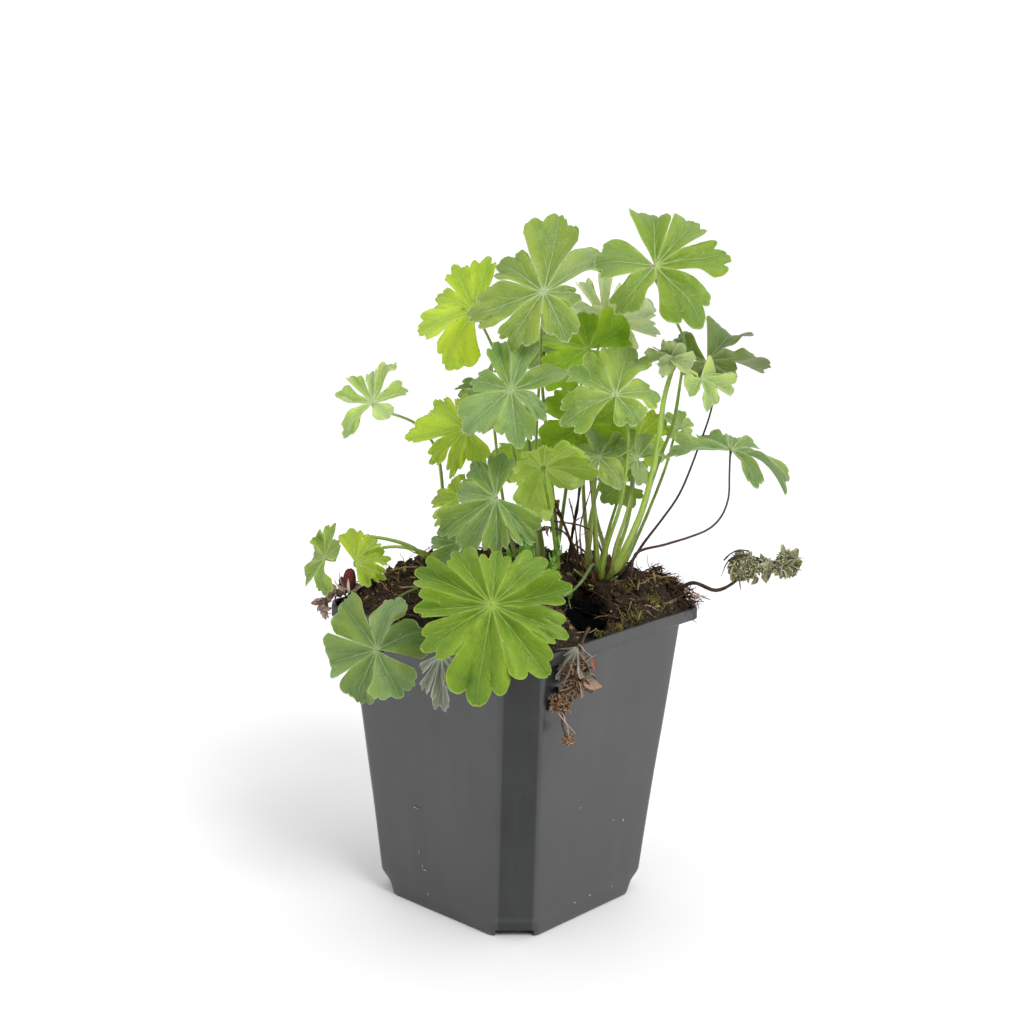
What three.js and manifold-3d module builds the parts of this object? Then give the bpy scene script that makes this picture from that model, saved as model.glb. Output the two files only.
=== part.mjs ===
// A hardy geranium in its square nursery pot: the moulded pot, the root ball with its peat,
// the woody crowns and a separate solid for every leaf with its stalk.
// Millimetres, +Z up, origin at the middle of the pot's flat underside, pot sides along X and Y.

import * as THREE from 'three';
import { mergeVertices } from 'three/addons/utils/BufferGeometryUtils.js';
import Module from 'manifold-3d';

const wasm = await Module();
wasm.setup();

// ---------------------------------------------------------------- driving dimensions

const POT = {
  height: 100, // ground to rim
  rimHalf: 45, // half the width over the rim
  topHalf: 42.85, // half the width of the wall just under the collar
  lowHalf: 34.8, // half the width just above the foot
  baseHalf: 33, // half the width at the ground
  wall: 1.2,
  floor: 1.5,
  collar: 4, // height of the rim's upright edge
  topChamfer: 9.4, // what each flat corner takes off a side, under the collar
  chamfer: 8.2, // the same just above the foot
  rimChamfer: 5.1, // the same at the rim, which is squarer than the wall
  footChamfer: 10.4, // the same at the foot, where the corner steps in
  stepLow: 4.5, // the step in the corner runs between these heights
  stepHigh: 8.5,
  soften: 1.3, // how far the corner edges are rounded off
  bevel: 0.5, // rounding of the foot and of the rim's top edge
  notchHeight: 2.1, // the foot is open under each corner
  notchWidth: 12.5,
  notchReach: 34.6, // middle of the pot to the notch's inner end
  notchLength: 20, // out past the corner
  drainRadius: 3.5,
  drainSides: 12,
  drainReach: 14, // middle of the pot to a drain hole, along X and along Y
};
const GAP = 0.3; // clearance between neighbouring solids
const TINY = 0.02; // edges shorter than this are closed up
const WELD = 1e-4; // points closer than this are one
const LOOSE = 0.5; // clearance of what stands in the peat
const PLANT_TURN = 42.3; // degrees from the pot's X axis to the plant's own

const SOIL = {
  edge: 98.8, // height of the peat at the rim
  mound: 12, // how far its middle stands above that
  shoulder: 5, // how steeply the mound falls to the rim
  sides: 32, // points round its outline
  rings: [1, 0.96, 0.9, 0.82, 0.72, 0.6, 0.48, 0.36, 0.24, 0.12], // share of the way to the rim
  grain: 1.5, // height of the crumbs
  // Hollows and heaps in the plant's frame: [x, y, radius, rise].
  relief: [[26, -19, 12, -12], [28, 3, 8, -5], [29, 17, 9, 4], [-29, 12, 10, 4], [9, 5, 7, -4],
    [-20, 0, 7, -4], [50, 7, 10, 5]],
};

const BLADE_THICKNESS = 0.66;
const STALK_SIDES = 5;
const STALK_STEP = 17; // longest straight piece of a stalk
const SEAT_RUN = 4; // how far a stalk runs straight out of its crown
const UNDER_RUN = 3.5; // and straight into the underside of its blade
const STALKS = { green: { start: 1, end: 0.55 }, thin: { start: 0.75, end: 0.5 } };
const WIDEST_HALF = 31; // degrees from a lobe's midrib to its edge, at most
const OPEN_FROM = 62; // a wider angle between two lobes is cut to the hub
const SMALL_LOBE = 11.5; // a shorter lobe needs no row halfway and no teeth

// Rounded teeth at a lobe's end: [place across the lobe, share of its length].
const TEETH = {
  0: [[-1, 0.74], [-0.5, 0.95], [0, 1], [0.5, 0.95], [1, 0.74]],
  3: [[-1, 0.72], [-0.68, 0.93], [-0.38, 0.86], [-0.15, 1], [0.15, 1], [0.38, 0.86], [0.68, 0.93],
    [1, 0.72]],
  5: [[-1, 0.74], [-0.84, 0.91], [-0.64, 0.86], [-0.46, 0.97], [-0.24, 0.92], [-0.08, 1],
    [0.08, 1], [0.24, 0.92], [0.46, 0.97], [0.64, 0.86], [0.84, 0.91], [1, 0.74]],
};

const FINISH = {
  pot: { colour: 0x4b4d50, roughness: 0.5 },
  soil: { colour: 0x33231a, roughness: 0.95 },
  crown: { colour: 0x6b4a2c, roughness: 0.9 },
  leaf: { colour: 0x76a03c, roughness: 0.55 },
  blue: { colour: 0x5f8a52, roughness: 0.6 },
  yellow: { colour: 0x9bb83a, roughness: 0.55 },
  olive: { colour: 0x56683a, roughness: 0.6 },
  stem: { colour: 0x8fae5a, roughness: 0.5 },
  dry: { colour: 0x5a4030, roughness: 0.9 },
  withered: { colour: 0x4d5338, roughness: 0.9 },
  red: { colour: 0x6e2f2c, roughness: 0.8 },
};

// What stalks grow from. The plant's own frame: x to the right, y to the back, z up from the
// ground.
const CROWNS = {
  main: { at: [28, 2, 105], size: [6.5, 6, 6.5] },
  middle: { at: [9, 5, 104.5], size: [5.5, 5.5, 5.5] },
  left: { at: [-20, 0, 104], size: [5, 4.5, 5] },
};

const BUD = { at: [49, 0, 180], size: [4.2, 3.4, 4.6], rough: 0.12 };
const SEATS = { ...CROWNS, bud: BUD };

// Leaves. hub: where the lobes meet. face: azimuth and elevation of the upper side's normal,
// azimuth 0 towards the front and growing to the right. fold: rise of the lobes' edges over
// their midribs. cut: share of the blade that the lobes hold together. fill: share of its sector
// that a lobe fills. lobes: heading in the blade's plane, length, droop at the tip and half the
// width, both in degrees. seat: what the stalk grows from, azimuth and elevation there, unless
// it is rooted in the peat. stalk: where it passes.
const LEAVES = [
  {
    name: 'leaf_top_right', hub: [41.6, -7, 212.7], face: [10, 38], fold: 0.1, cut: 0.22, fill: 0.98,
    lobes: [[17, 28, 12, 22], [46, 29, 30, 9], [89, 24, 25, 28], [171, 20, 20, 23], [226, 19, 25, 17],
      [307, 23.5, 12, 34]],
    seat: ['main', 112, 45],
    stalk: [[40, 8, 126], [46, 12, 145], [50.5, 11, 159], [52, 8, 172], [52.5, 6.2, 179],
      [52.5, 2, 187.5], [48.5, -3, 196]],
  },
  {
    name: 'leaf_top_centre', hub: [7, -8, 204], face: [-5, 42], fold: 0.12, cut: 0.25, fill: 0.98,
    lobes: [[5, 12, 10, 34], [45, 22, 12, 12], [79, 30, 10, 25], [134, 18, 10, 23], [198, 26, 20, 25],
      [236, 22, 15, 16], [298, 18, 15, 24]],
    seat: ['middle', 100, 62], stalk: [[11, 12, 140], [8, 12, 165], [6.5, 6, 184]],
  },
  {
    name: 'leaf_top_left', finish: 'yellow', hub: [-15.1, 8, 195.3],
    face: [-15, 30], fold: 0.12, cut: 0.25, fill: 0.98,
    lobes: [[40, 13, 10, 20], [90, 19, 10, 23], [131, 20, 10, 17], [164, 16.5, 10, 14], [199, 19.5, 12, 20],
      [251, 20, 12, 26]],
    seat: ['middle', 215, 62], stalk: [[-1, 15, 145], [-8, 14, 180]],
  },
  {
    name: 'leaf_left_small', hub: [-47, 0, 166.1], face: [-10, 48], fold: 0.22, cut: 0.16, fill: 0.98,
    lobes: [[31, 12.5, 10, 11], [83, 21, 5, 9], [103, 16, 5, 9], [131, 14, 8, 15], [175, 12.5, 15, 15],
      [232, 14, 20, 17], [320, 8, 25, 30]],
    seat: ['left', 215, 60], stalk: [[-24, 6, 130], [-27, 7, 150], [-33, 6, 158], [-40, 2, 162]],
  },
  {
    name: 'leaf_mid_left', finish: 'yellow', hub: [-16.6, -5, 159.5],
    face: [-15, 35], fold: 0.12, cut: 0.35, fill: 0.98,
    lobes: [[60, 12, 10, 20], [108, 12.5, 10, 18], [143, 16.5, 10, 16], [195, 19, 10, 18],
      [226, 16, 15, 13],
      [256, 15, 18, 16], [300, 13, 18, 20]],
    seat: ['left', 60, 72], stalk: [[-14, 0, 135]],
  },
  {
    name: 'leaf_blue', finish: 'blue', hub: [-2.7, -22, 175.2],
    face: [0, 40], fold: 0.14, cut: 0.22, fill: 0.98,
    lobes: [[23, 20, 12, 23], [76, 22, 10, 15], [108, 16, 10, 16], [160, 14, 20, 24], [223, 20, 15, 24],
      [277, 21, 15, 24], [331, 13.5, 18, 20]],
    seat: ['middle', 0, 85], stalk: [[6, 0, 135], [2, -10, 162]],
  },
  {
    name: 'leaf_centre', hub: [30.2, -15, 173], face: [5, 48], fold: 0.12, cut: 0.25, fill: 0.98,
    lobes: [[13, 15.5, 12, 28], [74, 23.5, 10, 24], [142, 18, 12, 28], [208, 21, 15, 19],
      [302, 13, 20, 32]],
    seat: ['main', 0, 50], stalk: [[29, -7, 121], [33.5, -12, 140], [34, -13, 164]],
  },
  {
    name: 'leaf_bright_back', hub: [22, 6, 184], face: [0, 48], fold: 0.12, cut: 0.3, fill: 0.88,
    lobes: [[40, 12, 10], [100, 10, 10], [155, 13, 10], [215, 13, 10], [300, 10, 20]],
    seat: ['middle', 150, 40], stalk: [[16, 13, 135], [18, 12, 160]],
  },
  {
    name: 'leaf_pale_right', hub: [30, 18, 190], face: [10, 58], fold: 0.14, cut: 0.28, fill: 0.85,
    lobes: [[350, 15, 25], [28, 16, 15], [75, 13, 10], [140, 11, 10], [215, 10, 15], [300, 11, 25]],
    seat: ['main', 160, 58], stalk: [[26, 20, 128], [26, 22, 150], [29, 20, 176]],
  },
  {
    name: 'leaf_narrow', hub: [28, 30, 190], face: [0, 25], fold: 0.3, cut: 0.25, fill: 0.6,
    lobes: [[62, 13, 10], [90, 15, 10], [122, 14, 15], [155, 11, 25]],
    seat: ['main', 215, 55], stalk: [[22, 20, 136], [23, 26, 165], [26, 30, 180]],
  },
  {
    name: 'leaf_dark_right', finish: 'olive', hub: [61, 13.5, 179.3],
    face: [0, 55], fold: 0.2, cut: 0.25, fill: 0.98,
    lobes: [[21, 21, 40, 20], [62, 24, 30, 20], [149, 15.5, 20, 25], [235, 10, 20, 25], [290, 9, 20, 25],
      [330, 10, 30, 20]],
    seat: ['main', 88, 40],
    stalk: [[42, 2.5, 121], [47.5, 3.5, 128.5], [53, 4.5, 137], [59, 5.5, 153.5], [62.3, 7, 164],
      [63.3, 11, 170]],
  },
  {
    name: 'leaf_droop_right', finish: 'blue', hub: [68, -6, 154.2],
    face: [0, 66], fold: 0.2, cut: 0.25, fill: 0.98,
    lobes: [[350, 23.5, 50, 22], [30, 12, 30, 25], [80, 12, 20, 25], [130, 15, 15, 20], [179, 20.5, 12, 16],
      [305, 15, 25, 16]],
    seat: ['main', 68, 19],
    stalk: [[39, 0, 117.5], [48.5, -2, 121.5], [57, -4, 125], [62.5, -5, 128], [66, -5, 132],
      [68, -5, 138], [68, -5, 146]],
  },
  {
    name: 'leaf_olive', finish: 'olive', hub: [58, 1, 176],
    face: [25, 50], fold: 0.35, cut: 0.25, fill: 0.7,
    lobes: [[225, 9, 20], [270, 11, 30], [325, 12, 30], [20, 8, 20]],
    seat: ['bud', 100, -20], stalk: [],
  },
  {
    name: 'leaf_underside', finish: 'yellow', hub: [8, -18, 150],
    face: [0, 148], fold: 0.08, cut: 0.35, fill: 0.98,
    lobes: [[43, 17, 10, 25], [103, 20, 10, 24], [158, 12, 10, 26], [196, 11, 10, 16], [235, 12, 10, 22],
      [272, 14, 10, 16], [307, 20, 10, 22], [352, 18, 12, 22]],
    seat: ['middle', 50, 50], stalk: [[13, -2, 118], [11, -10, 132]],
  },
  {
    name: 'leaf_mid_dark', finish: 'blue', hub: [-6.7, -28, 142.2],
    face: [-10, 25], fold: 0.2, cut: 0.3, fill: 0.98,
    lobes: [[90, 15.5, 8, 22], [128, 15, 10, 20], [174, 13.5, 15, 24], [214, 22, 14, 17], [246, 22, 12, 16],
      [277, 20, 12, 16], [315, 19, 12, 22]],
    seat: ['middle', 335, 52], stalk: [[3, -8, 120]],
  },
  {
    name: 'leaf_front', hub: [-7.1, -55, 115.5], face: [-5, 32], fold: 0.08, cut: 0.62, fill: 0.98,
    teeth: 5,
    lobes: [[22, 24.5, 5, 21], [66, 20, 5, 22], [107, 18.5, 10, 20], [145, 24, 5, 19], [186, 24.5, 5, 21],
      [229, 25, 8, 22], [275, 30, 12, 25], [318, 26.5, 10, 18], [345, 24, 8, 12]],
    seat: ['main', 325, 22], stalk: [[21, -10, 112.5], [16, -24, 111.5], [5, -40, 113.5], [-4, -48, 113]],
  },
  {
    name: 'leaf_front_left', finish: 'blue', hub: [-42.7, -40, 95.8],
    face: [-28, 24], fold: 0.1, cut: 0.22, fill: 0.98,
    lobes: [[54, 15.5, 10, 21], [112, 19, 5, 19], [150, 20, 5, 19], [205, 18, 8, 22], [240, 17.5, 10, 20],
      [290, 18, 12, 22], [330, 17, 12, 20]],
    seat: ['left', 300, 18], stalk: [[-30, -14, 111], [-39, -27, 111], [-43.5, -38, 103]],
  },
  {
    name: 'leaf_far_left', hub: [-62, -5, 115.5], face: [-62, 20], fold: 0.12, cut: 0.4, fill: 0.85,
    lobes: [[45, 9, 5], [95, 12, 5], [135, 11, 10], [190, 16, 20], [240, 13, 10], [285, 13, 5]],
    seat: ['left', 232, 30], stalk: [[-34, 8, 116], [-50, 7, 120], [-58, 0, 120]],
  },
  {
    name: 'leaf_left_pair', hub: [-52, -8, 115], face: [5, 35], fold: 0.15, cut: 0.35, fill: 0.9,
    lobes: [[12, 12, 10], [52, 12, 10], [95, 12.5, 10], [300, 10, 10], [335, 11, 10]],
    seat: ['left', 275, 42], stalk: [[-26, -3, 115], [-33, -5, 119], [-41, -6, 120], [-48, -7, 118]],
  },
  {
    name: 'leaf_left_tiny', finish: 'yellow', hub: [-18.5, -6, 137],
    face: [-30, 35], fold: 0.15, cut: 0.35, fill: 0.9,
    lobes: [[70, 7, 10], [130, 8, 10], [190, 8, 10], [250, 9, 10]],
    seat: ['left', 330, 62], stalk: [[-20, -4, 124]],
  },
  {
    name: 'leaf_left_low', hub: [-18, -13, 124], face: [-20, 30], fold: 0.15, cut: 0.35, fill: 0.9,
    lobes: [[60, 8, 10], [120, 8, 10], [180, 8, 10], [240, 9, 10]],
    seat: ['left', 350, 22], stalk: [[-19, -9, 115]],
  },
  {
    name: 'leaf_mid_green', hub: [22, 2, 160], face: [0, 40], fold: 0.1, cut: 0.35, fill: 0.92,
    lobes: [[30, 13, 10], [90, 12, 10], [150, 12, 10], [215, 13, 10], [265, 12, 10], [320, 12, 10]],
    seat: ['main', 250, 82], stalk: [[25, 2, 135]],
  },
  {
    name: 'leaf_grey_small', hub: [25.5, -12, 152.5], face: [10, 55], fold: 0.12, cut: 0.35, fill: 0.9,
    lobes: [[25, 9, 10], [85, 9, 10], [150, 8, 10], [215, 6.5, 10], [300, 9, 10]],
    seat: ['main', 310, 55], stalk: [[24, -6, 125]],
  },
  {
    name: 'leaf_yellow', finish: 'yellow', hub: [39.2, 15.3, 153],
    face: [0, 35], fold: 0.1, cut: 0.4, fill: 0.92,
    lobes: [[45, 10, 10], [95, 11, 10], [145, 10, 10], [205, 8, 10], [330, 8, 10]],
    seat: ['main', 120, 62], stalk: [[37, 9, 128]],
  },
  {
    name: 'leaf_dark_low', hub: [38.5, 0.5, 149.5], face: [22, 50], fold: 0.14, cut: 0.35, fill: 0.88,
    lobes: [[18, 12, 25, 20], [60, 10, 15], [110, 9, 10], [160, 11, 10], [205, 9, 15], [255, 8, 20]],
    seat: ['main', 25, 45], stalk: [[32, -6.5, 121], [36, -3, 134]],
  },
  {
    name: 'leaf_low', hub: [35, 19, 137], face: [0, 42], fold: 0.12, cut: 0.35, fill: 0.9,
    lobes: [[45, 9, 10], [95, 8, 10], [145, 8, 10], [225, 7.5, 10], [290, 8, 10]],
    seat: ['main', 180, 30], stalk: [[31, 17, 122]],
  },
  {
    name: 'leaf_right_small', hub: [53.5, 20, 156], face: [20, 35], fold: 0.14, cut: 0.35, fill: 0.9,
    lobes: [[25, 6, 10], [75, 7, 10], [130, 7, 10], [200, 6, 10], [320, 5, 10]],
    seat: ['main', 135, 25], stalk: [[42, 14, 124], [49.5, 20, 143]],
  },
  {
    name: 'withered_leaf_left', finish: 'withered', kind: 'thin', hub: [-22.5, -48, 97.5],
    face: [-22, 12], fold: 0.2, cut: 0.2, fill: 0.9,
    lobes: [[225, 9, 15, 12], [252, 14, 15, 12], [278, 18, 10, 12], [304, 12.5, 15, 12], [335, 8, 15, 12]],
    stalk: [[-20, -31, 98.5], [-20, -36, 102.5], [-21, -43, 103], [-21.5, -45.6, 100.5]],
  },
  {
    name: 'leaf_back_centre', hub: [8, 34, 178], face: [160, 50], fold: 0.12, cut: 0.25, fill: 0.87,
    lobes: [[0, 17, 15], [50, 18, 10], [100, 20, 10], [150, 18, 15], [205, 16, 20], [310, 15, 20]],
    seat: ['middle', 185, 42], stalk: [[6, 20, 140]],
  },
  {
    name: 'leaf_back_right', hub: [34, 40, 158], face: [150, 45], fold: 0.12, cut: 0.25, fill: 0.87,
    lobes: [[10, 15, 15], [60, 17, 10], [110, 17, 10], [160, 16, 15], [220, 14, 20], [310, 13, 20]],
    seat: ['main', 205, 20], stalk: [[25, 24, 124], [31, 37, 143]],
  },
  {
    name: 'leaf_back_left', hub: [-10, 26, 166], face: [195, 45], fold: 0.12, cut: 0.25, fill: 0.87,
    lobes: [[20, 14, 15], [70, 15, 10], [120, 16, 10], [170, 14, 15], [230, 13, 20], [320, 12, 20]],
    seat: ['middle', 240, 30], stalk: [[-4, 14, 128]],
  },
  {
    name: 'leaf_back_low', hub: [4, 44, 138], face: [175, 35], fold: 0.1, cut: 0.5, fill: 0.93,
    lobes: [[15, 16, 10], [60, 17, 10], [105, 17, 10], [150, 16, 10], [200, 15, 15], [330, 14, 15]],
    seat: ['middle', 180, 10], stalk: [[7, 20, 116], [5, 34, 126]],
  },
];

// Stems, buds and withered leaves. lumps: rounded bodies on the stalk, roughened.
const PIECES = [
  {
    name: 'shoot', finish: 'stem', radii: [1.7, 1.2], seat: ['main', 66, 60], lumps: [BUD],
    stalk: [[36, -2, 121], [40, -2, 131], [43, -2, 143], [45, -2, 156], [46.5, -1, 170], [49, 0, 180]],
  },
  {
    name: 'withered_leaf_right', finish: 'withered', radii: [0.8, 0.5],
    stalk: [[52, 2, 104], [58, -3, 109], [65, -8, 108], [70, -10, 111], [74, -11, 116], [80, -10, 119],
      [86, -10, 117]],
    lumps: [{ at: [74, -10, 117], size: [4.8, 3.4, 3.8], rough: 0.3 },
      { at: [87, -10, 117], size: [4, 3, 4.4], rough: 0.3 }],
  },
  {
    name: 'withered_leaf_front', finish: 'dry', radii: [0.8, 0.6],
    stalk: [[22, -32, 100], [23, -38, 103.5], [21, -47, 103], [19, -51, 96], [18, -52, 86], [15, -51, 78],
      [17, -51, 71]],
    lumps: [{ at: [18.5, -52, 91], size: [4, 2.2, 5.5], rough: 0.35 },
      { at: [14, -52, 83], size: [3.4, 2, 3], rough: 0.35 },
      { at: [17, -51, 71], size: [2.3, 1.9, 2.3], rough: 0.25 }],
  },
  {
    name: 'red_bud', finish: 'red', radii: [0.8, 0.8],
    stalk: [[-48, -2, 97], [-51, -4, 102], [-54, -6, 108]],
    lumps: [{ at: [-54, -6, 109], size: [2.9, 2.6, 4], rough: 0.15 }],
  },
  {
    name: 'dry_litter', finish: 'dry', radii: [0.9, 0.9],
    stalk: [[-48, 3, 99], [-53, 1, 103.2], [-58, -1, 103.5], [-62.8, -2, 101], [-63, -2.5, 97]],
    lumps: [{ at: [-55.5, 0, 103.7], size: [5, 3, 1.8], rough: 0.3 },
      { at: [-63.2, -2.5, 98], size: [1.4, 3, 3.6], rough: 0.2 }],
  },
  {
    name: 'dry_stem_1', finish: 'dry', radii: [0.6, 0.4],
    stalk: [[19, 9, 108], [18.5, 8, 117], [15, 6, 127], [11, 6, 136]],
  },
  {
    name: 'dry_stem_2', finish: 'dry', radii: [0.6, 0.4],
    stalk: [[17.5, 15, 108], [18.5, 13, 120], [20, 9, 132], [21, 9, 144]],
  },
  {
    name: 'dry_stem_3', finish: 'dry', radii: [0.5, 0.35],
    stalk: [[20.5, 2.5, 108], [19, 1, 119], [15, -1, 125], [9, -3, 127]],
  },
];

// ---------------------------------------------------------------- small helpers

const vec = (x, y, z) => new THREE.Vector3(x, y, z);
const at = (list) => new THREE.Vector3(...list);
const rad = THREE.MathUtils.degToRad;

function solidOf(geometry) {
  const bare = new THREE.BufferGeometry();
  bare.setAttribute('position', geometry.getAttribute('position'));
  bare.setIndex(geometry.index);
  const merged = mergeVertices(bare, WELD);
  return new wasm.Manifold(new wasm.Mesh({
    numProp: 3,
    vertProperties: new Float32Array(merged.attributes.position.array),
    triVerts: new Uint32Array(merged.index.array),
  }));
}

// The joined solid, without edges or crumbs too small to matter.
function geometryOf(solid) {
  const bodies = solid.simplify(TINY).decompose();
  const mesh = bodies.reduce((a, b) => (b.volume() > a.volume() ? b : a)).getMesh();
  return indexed(mesh.vertProperties, mesh.triVerts);
}

function indexed(positions, triangles) {
  const geometry = new THREE.BufferGeometry();
  geometry.setAttribute('position', new THREE.Float32BufferAttribute(positions, 3));
  geometry.setIndex(Array.from(triangles));
  geometry.computeVertexNormals();
  return geometry;
}

// A closed solid through rings of equal count, each anticlockwise seen from the next one's side.
function loft(rings) {
  const count = rings[0].length;
  const positions = rings.flat().flatMap((p) => [p.x, p.y, p.z]);
  const triangles = [];
  for (let ring = 0; ring < rings.length - 1; ring += 1) {
    for (let i = 0; i < count; i += 1) {
      const low = ring * count + i;
      const next = ring * count + ((i + 1) % count);
      triangles.push(low, next, next + count, low, next + count, low + count);
    }
  }
  const top = (rings.length - 1) * count;
  for (let i = 1; i < count - 1; i += 1) {
    triangles.push(0, i + 1, i, top, top + i, top + i + 1);
  }
  return indexed(positions, triangles);
}

// A smooth curve through points, as points at most one stalk step apart.
function spine(points) {
  const curve = new THREE.CatmullRomCurve3(points, false, 'centripetal');
  const spans = points.length - 1;
  const centres = [];
  for (let i = 0; i < spans; i += 1) {
    const parts = Math.ceil(points[i].distanceTo(points[i + 1]) / STALK_STEP);
    for (let k = 0; k < parts; k += 1) centres.push(curve.getPoint((i + k / parts) / spans));
  }
  return [...centres, points[spans].clone()];
}

// A tapering round stalk along a smooth curve. extra thickens it and starts it lower, to cut
// its clearance.
function stalkGeometry(points, startRadius, endRadius, extra = 0) {
  const centres = spine(points);
  const last = centres.length - 1;
  const normal = vec(1, 0, 0);
  const rings = centres.map((centre, i) => {
    const ahead = centres[Math.min(i + 1, last)].clone().sub(centres[Math.max(i - 1, 0)]).normalize();
    normal.addScaledVector(ahead, -normal.dot(ahead)).normalize();
    const side = ahead.clone().cross(normal);
    const radius = THREE.MathUtils.lerp(startRadius, endRadius, i / last) + extra;
    const middle = i === 0 ? centre.clone().addScaledVector(ahead, -2 * extra) : centre;
    return Array.from({ length: STALK_SIDES }, (_, k) => {
      const angle = (2 * Math.PI * k) / STALK_SIDES;
      return middle.clone().addScaledVector(normal, radius * Math.cos(angle))
        .addScaledVector(side, radius * Math.sin(angle));
    });
  });
  return loft(rings);
}

// A thin closed plate on both sides of a triangulated sheet, with the same triangles on each.
function plate(points, faces, thickness) {
  const normals = points.map(() => vec(0, 0, 0));
  for (const face of faces) {
    const [a, b, c] = face.map((i) => points[i]);
    const normal = b.clone().sub(a).cross(c.clone().sub(a));
    face.forEach((i) => normals[i].add(normal));
  }
  normals.forEach((normal) => normal.normalize());
  const count = points.length;
  const positions = [];
  for (const side of [0.5, -0.5]) {
    points.forEach((p, i) => {
      const q = p.clone().addScaledVector(normals[i], side * thickness);
      positions.push(q.x, q.y, q.z);
    });
  }
  const triangles = faces.flatMap(([a, b, c]) => [a, b, c, a + count, c + count, b + count]);
  const edges = new Set(faces.flatMap(([a, b, c]) => [`${a} ${b}`, `${b} ${c}`, `${c} ${a}`]));
  for (const edge of edges) {
    const [a, b] = edge.split(' ').map(Number);
    if (!edges.has(`${b} ${a}`)) triangles.push(a, a + count, b + count, a, b + count, b);
  }
  return indexed(positions, triangles);
}

// Smooth repeatable noise between -1 and 1.
function noise(x, y) {
  return (Math.sin(x * 1.7 + 2.1 * Math.sin(y * 0.9)) + Math.sin(y * 2.3 + 1.7 * Math.sin(x * 1.3))) / 2;
}

// ---------------------------------------------------------------- pot and soil

// The pot's outline at one height: a square with cut corners, their edges rounded off.
function softOctagon(half, cut, z) {
  const ring = [];
  for (let quarter = 0; quarter < 4; quarter += 1) {
    const corners = [[half, -half + cut], [half, half - cut], [half - cut, half]];
    for (const side of [1, 2]) {
      const here = new THREE.Vector2(...corners[side]);
      const before = side === 1 ? new THREE.Vector2(...corners[0]) : new THREE.Vector2(...corners[1]);
      const after = side === 1 ? new THREE.Vector2(...corners[2]) : new THREE.Vector2(-half + cut, half);
      for (const towards of [before, after]) {
        const p = here.clone().add(towards.clone().sub(here).setLength(POT.soften));
        p.rotateAround(new THREE.Vector2(0, 0), (quarter * Math.PI) / 2);
        ring.push(vec(p.x, p.y, z));
      }
    }
  }
  return ring;
}

// Half the wall's width at a height: it flares quickly over the foot and slowly above it.
function wallHalf(z) {
  if (z < POT.stepHigh) return THREE.MathUtils.lerp(POT.baseHalf, POT.lowHalf, z / POT.stepHigh);
  const share = (z - POT.stepHigh) / (POT.height - POT.collar - POT.stepHigh);
  return THREE.MathUtils.lerp(POT.lowHalf, POT.topHalf, share);
}

const CORNER_THIN = POT.wall * (2 - Math.SQRT2); // less cut inside, so that corners are as thick
const FLOOR_CUT = 20; // the floor's own corners, clear of the notches under them
const NOTCH_ROOF = POT.notchHeight + POT.floor;
const LEDGE = POT.height - POT.collar + POT.wall; // top of the ledge inside the rim's corners

// [height, half width, corner cut] of the cavity, from the floor up.
const CAVITY = [
  [POT.floor, wallHalf(POT.floor) - POT.wall, FLOOR_CUT],
  [NOTCH_ROOF, wallHalf(NOTCH_ROOF) - POT.wall, POT.footChamfer - CORNER_THIN],
  [POT.stepHigh, wallHalf(POT.stepHigh) - POT.wall, POT.chamfer - CORNER_THIN],
  [LEDGE, wallHalf(LEDGE) - POT.wall, POT.topChamfer - CORNER_THIN],
  [LEDGE, POT.rimHalf - POT.wall, POT.rimChamfer - CORNER_THIN],
];

function potGeometry() {
  const collarFoot = POT.height - POT.collar;
  const outside = loft([
    softOctagon(POT.baseHalf - POT.bevel, POT.footChamfer, 0),
    softOctagon(wallHalf(POT.bevel), POT.footChamfer, POT.bevel),
    softOctagon(wallHalf(POT.stepLow), POT.footChamfer, POT.stepLow),
    softOctagon(wallHalf(POT.stepHigh), POT.chamfer, POT.stepHigh),
    softOctagon(wallHalf(collarFoot), POT.topChamfer, collarFoot),
    softOctagon(POT.rimHalf, POT.rimChamfer, collarFoot),
    softOctagon(POT.rimHalf, POT.rimChamfer, POT.height - POT.bevel),
    softOctagon(POT.rimHalf - POT.bevel, POT.rimChamfer, POT.height),
  ]);
  const cavity = CAVITY.map(([z, half, cut]) => softOctagon(half, cut, z));
  cavity.push(softOctagon(POT.rimHalf - POT.wall, POT.rimChamfer - CORNER_THIN, POT.height + 1));
  let pot = solidOf(outside).subtract(solidOf(loft(cavity)));
  for (let quarter = 0; quarter < 4; quarter += 1) {
    const turn = (quarter * Math.PI) / 2;
    const notch = new THREE.BoxGeometry(POT.notchLength, POT.notchWidth, 2 * POT.notchHeight);
    notch.translate(POT.notchReach + POT.notchLength / 2, 0, 0).rotateZ(Math.PI / 4 + turn);
    const { drainRadius, drainReach, drainSides } = POT;
    const drain = new THREE.CylinderGeometry(drainRadius, drainRadius, 4 * POT.floor, drainSides);
    drain.rotateX(Math.PI / 2).translate(drainReach, drainReach, 0).rotateZ(turn);
    pot = pot.subtract(solidOf(notch)).subtract(solidOf(drain));
  }
  return geometryOf(pot);
}

// Distance from the axis to a cut square's outline, at an angle.
function outlineReach(half, cut, angle) {
  const turn = Math.abs(Math.cos(angle));
  const rise = Math.abs(Math.sin(angle));
  return Math.min(half / turn, half / rise, (2 * half - cut) / (turn + rise));
}

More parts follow.
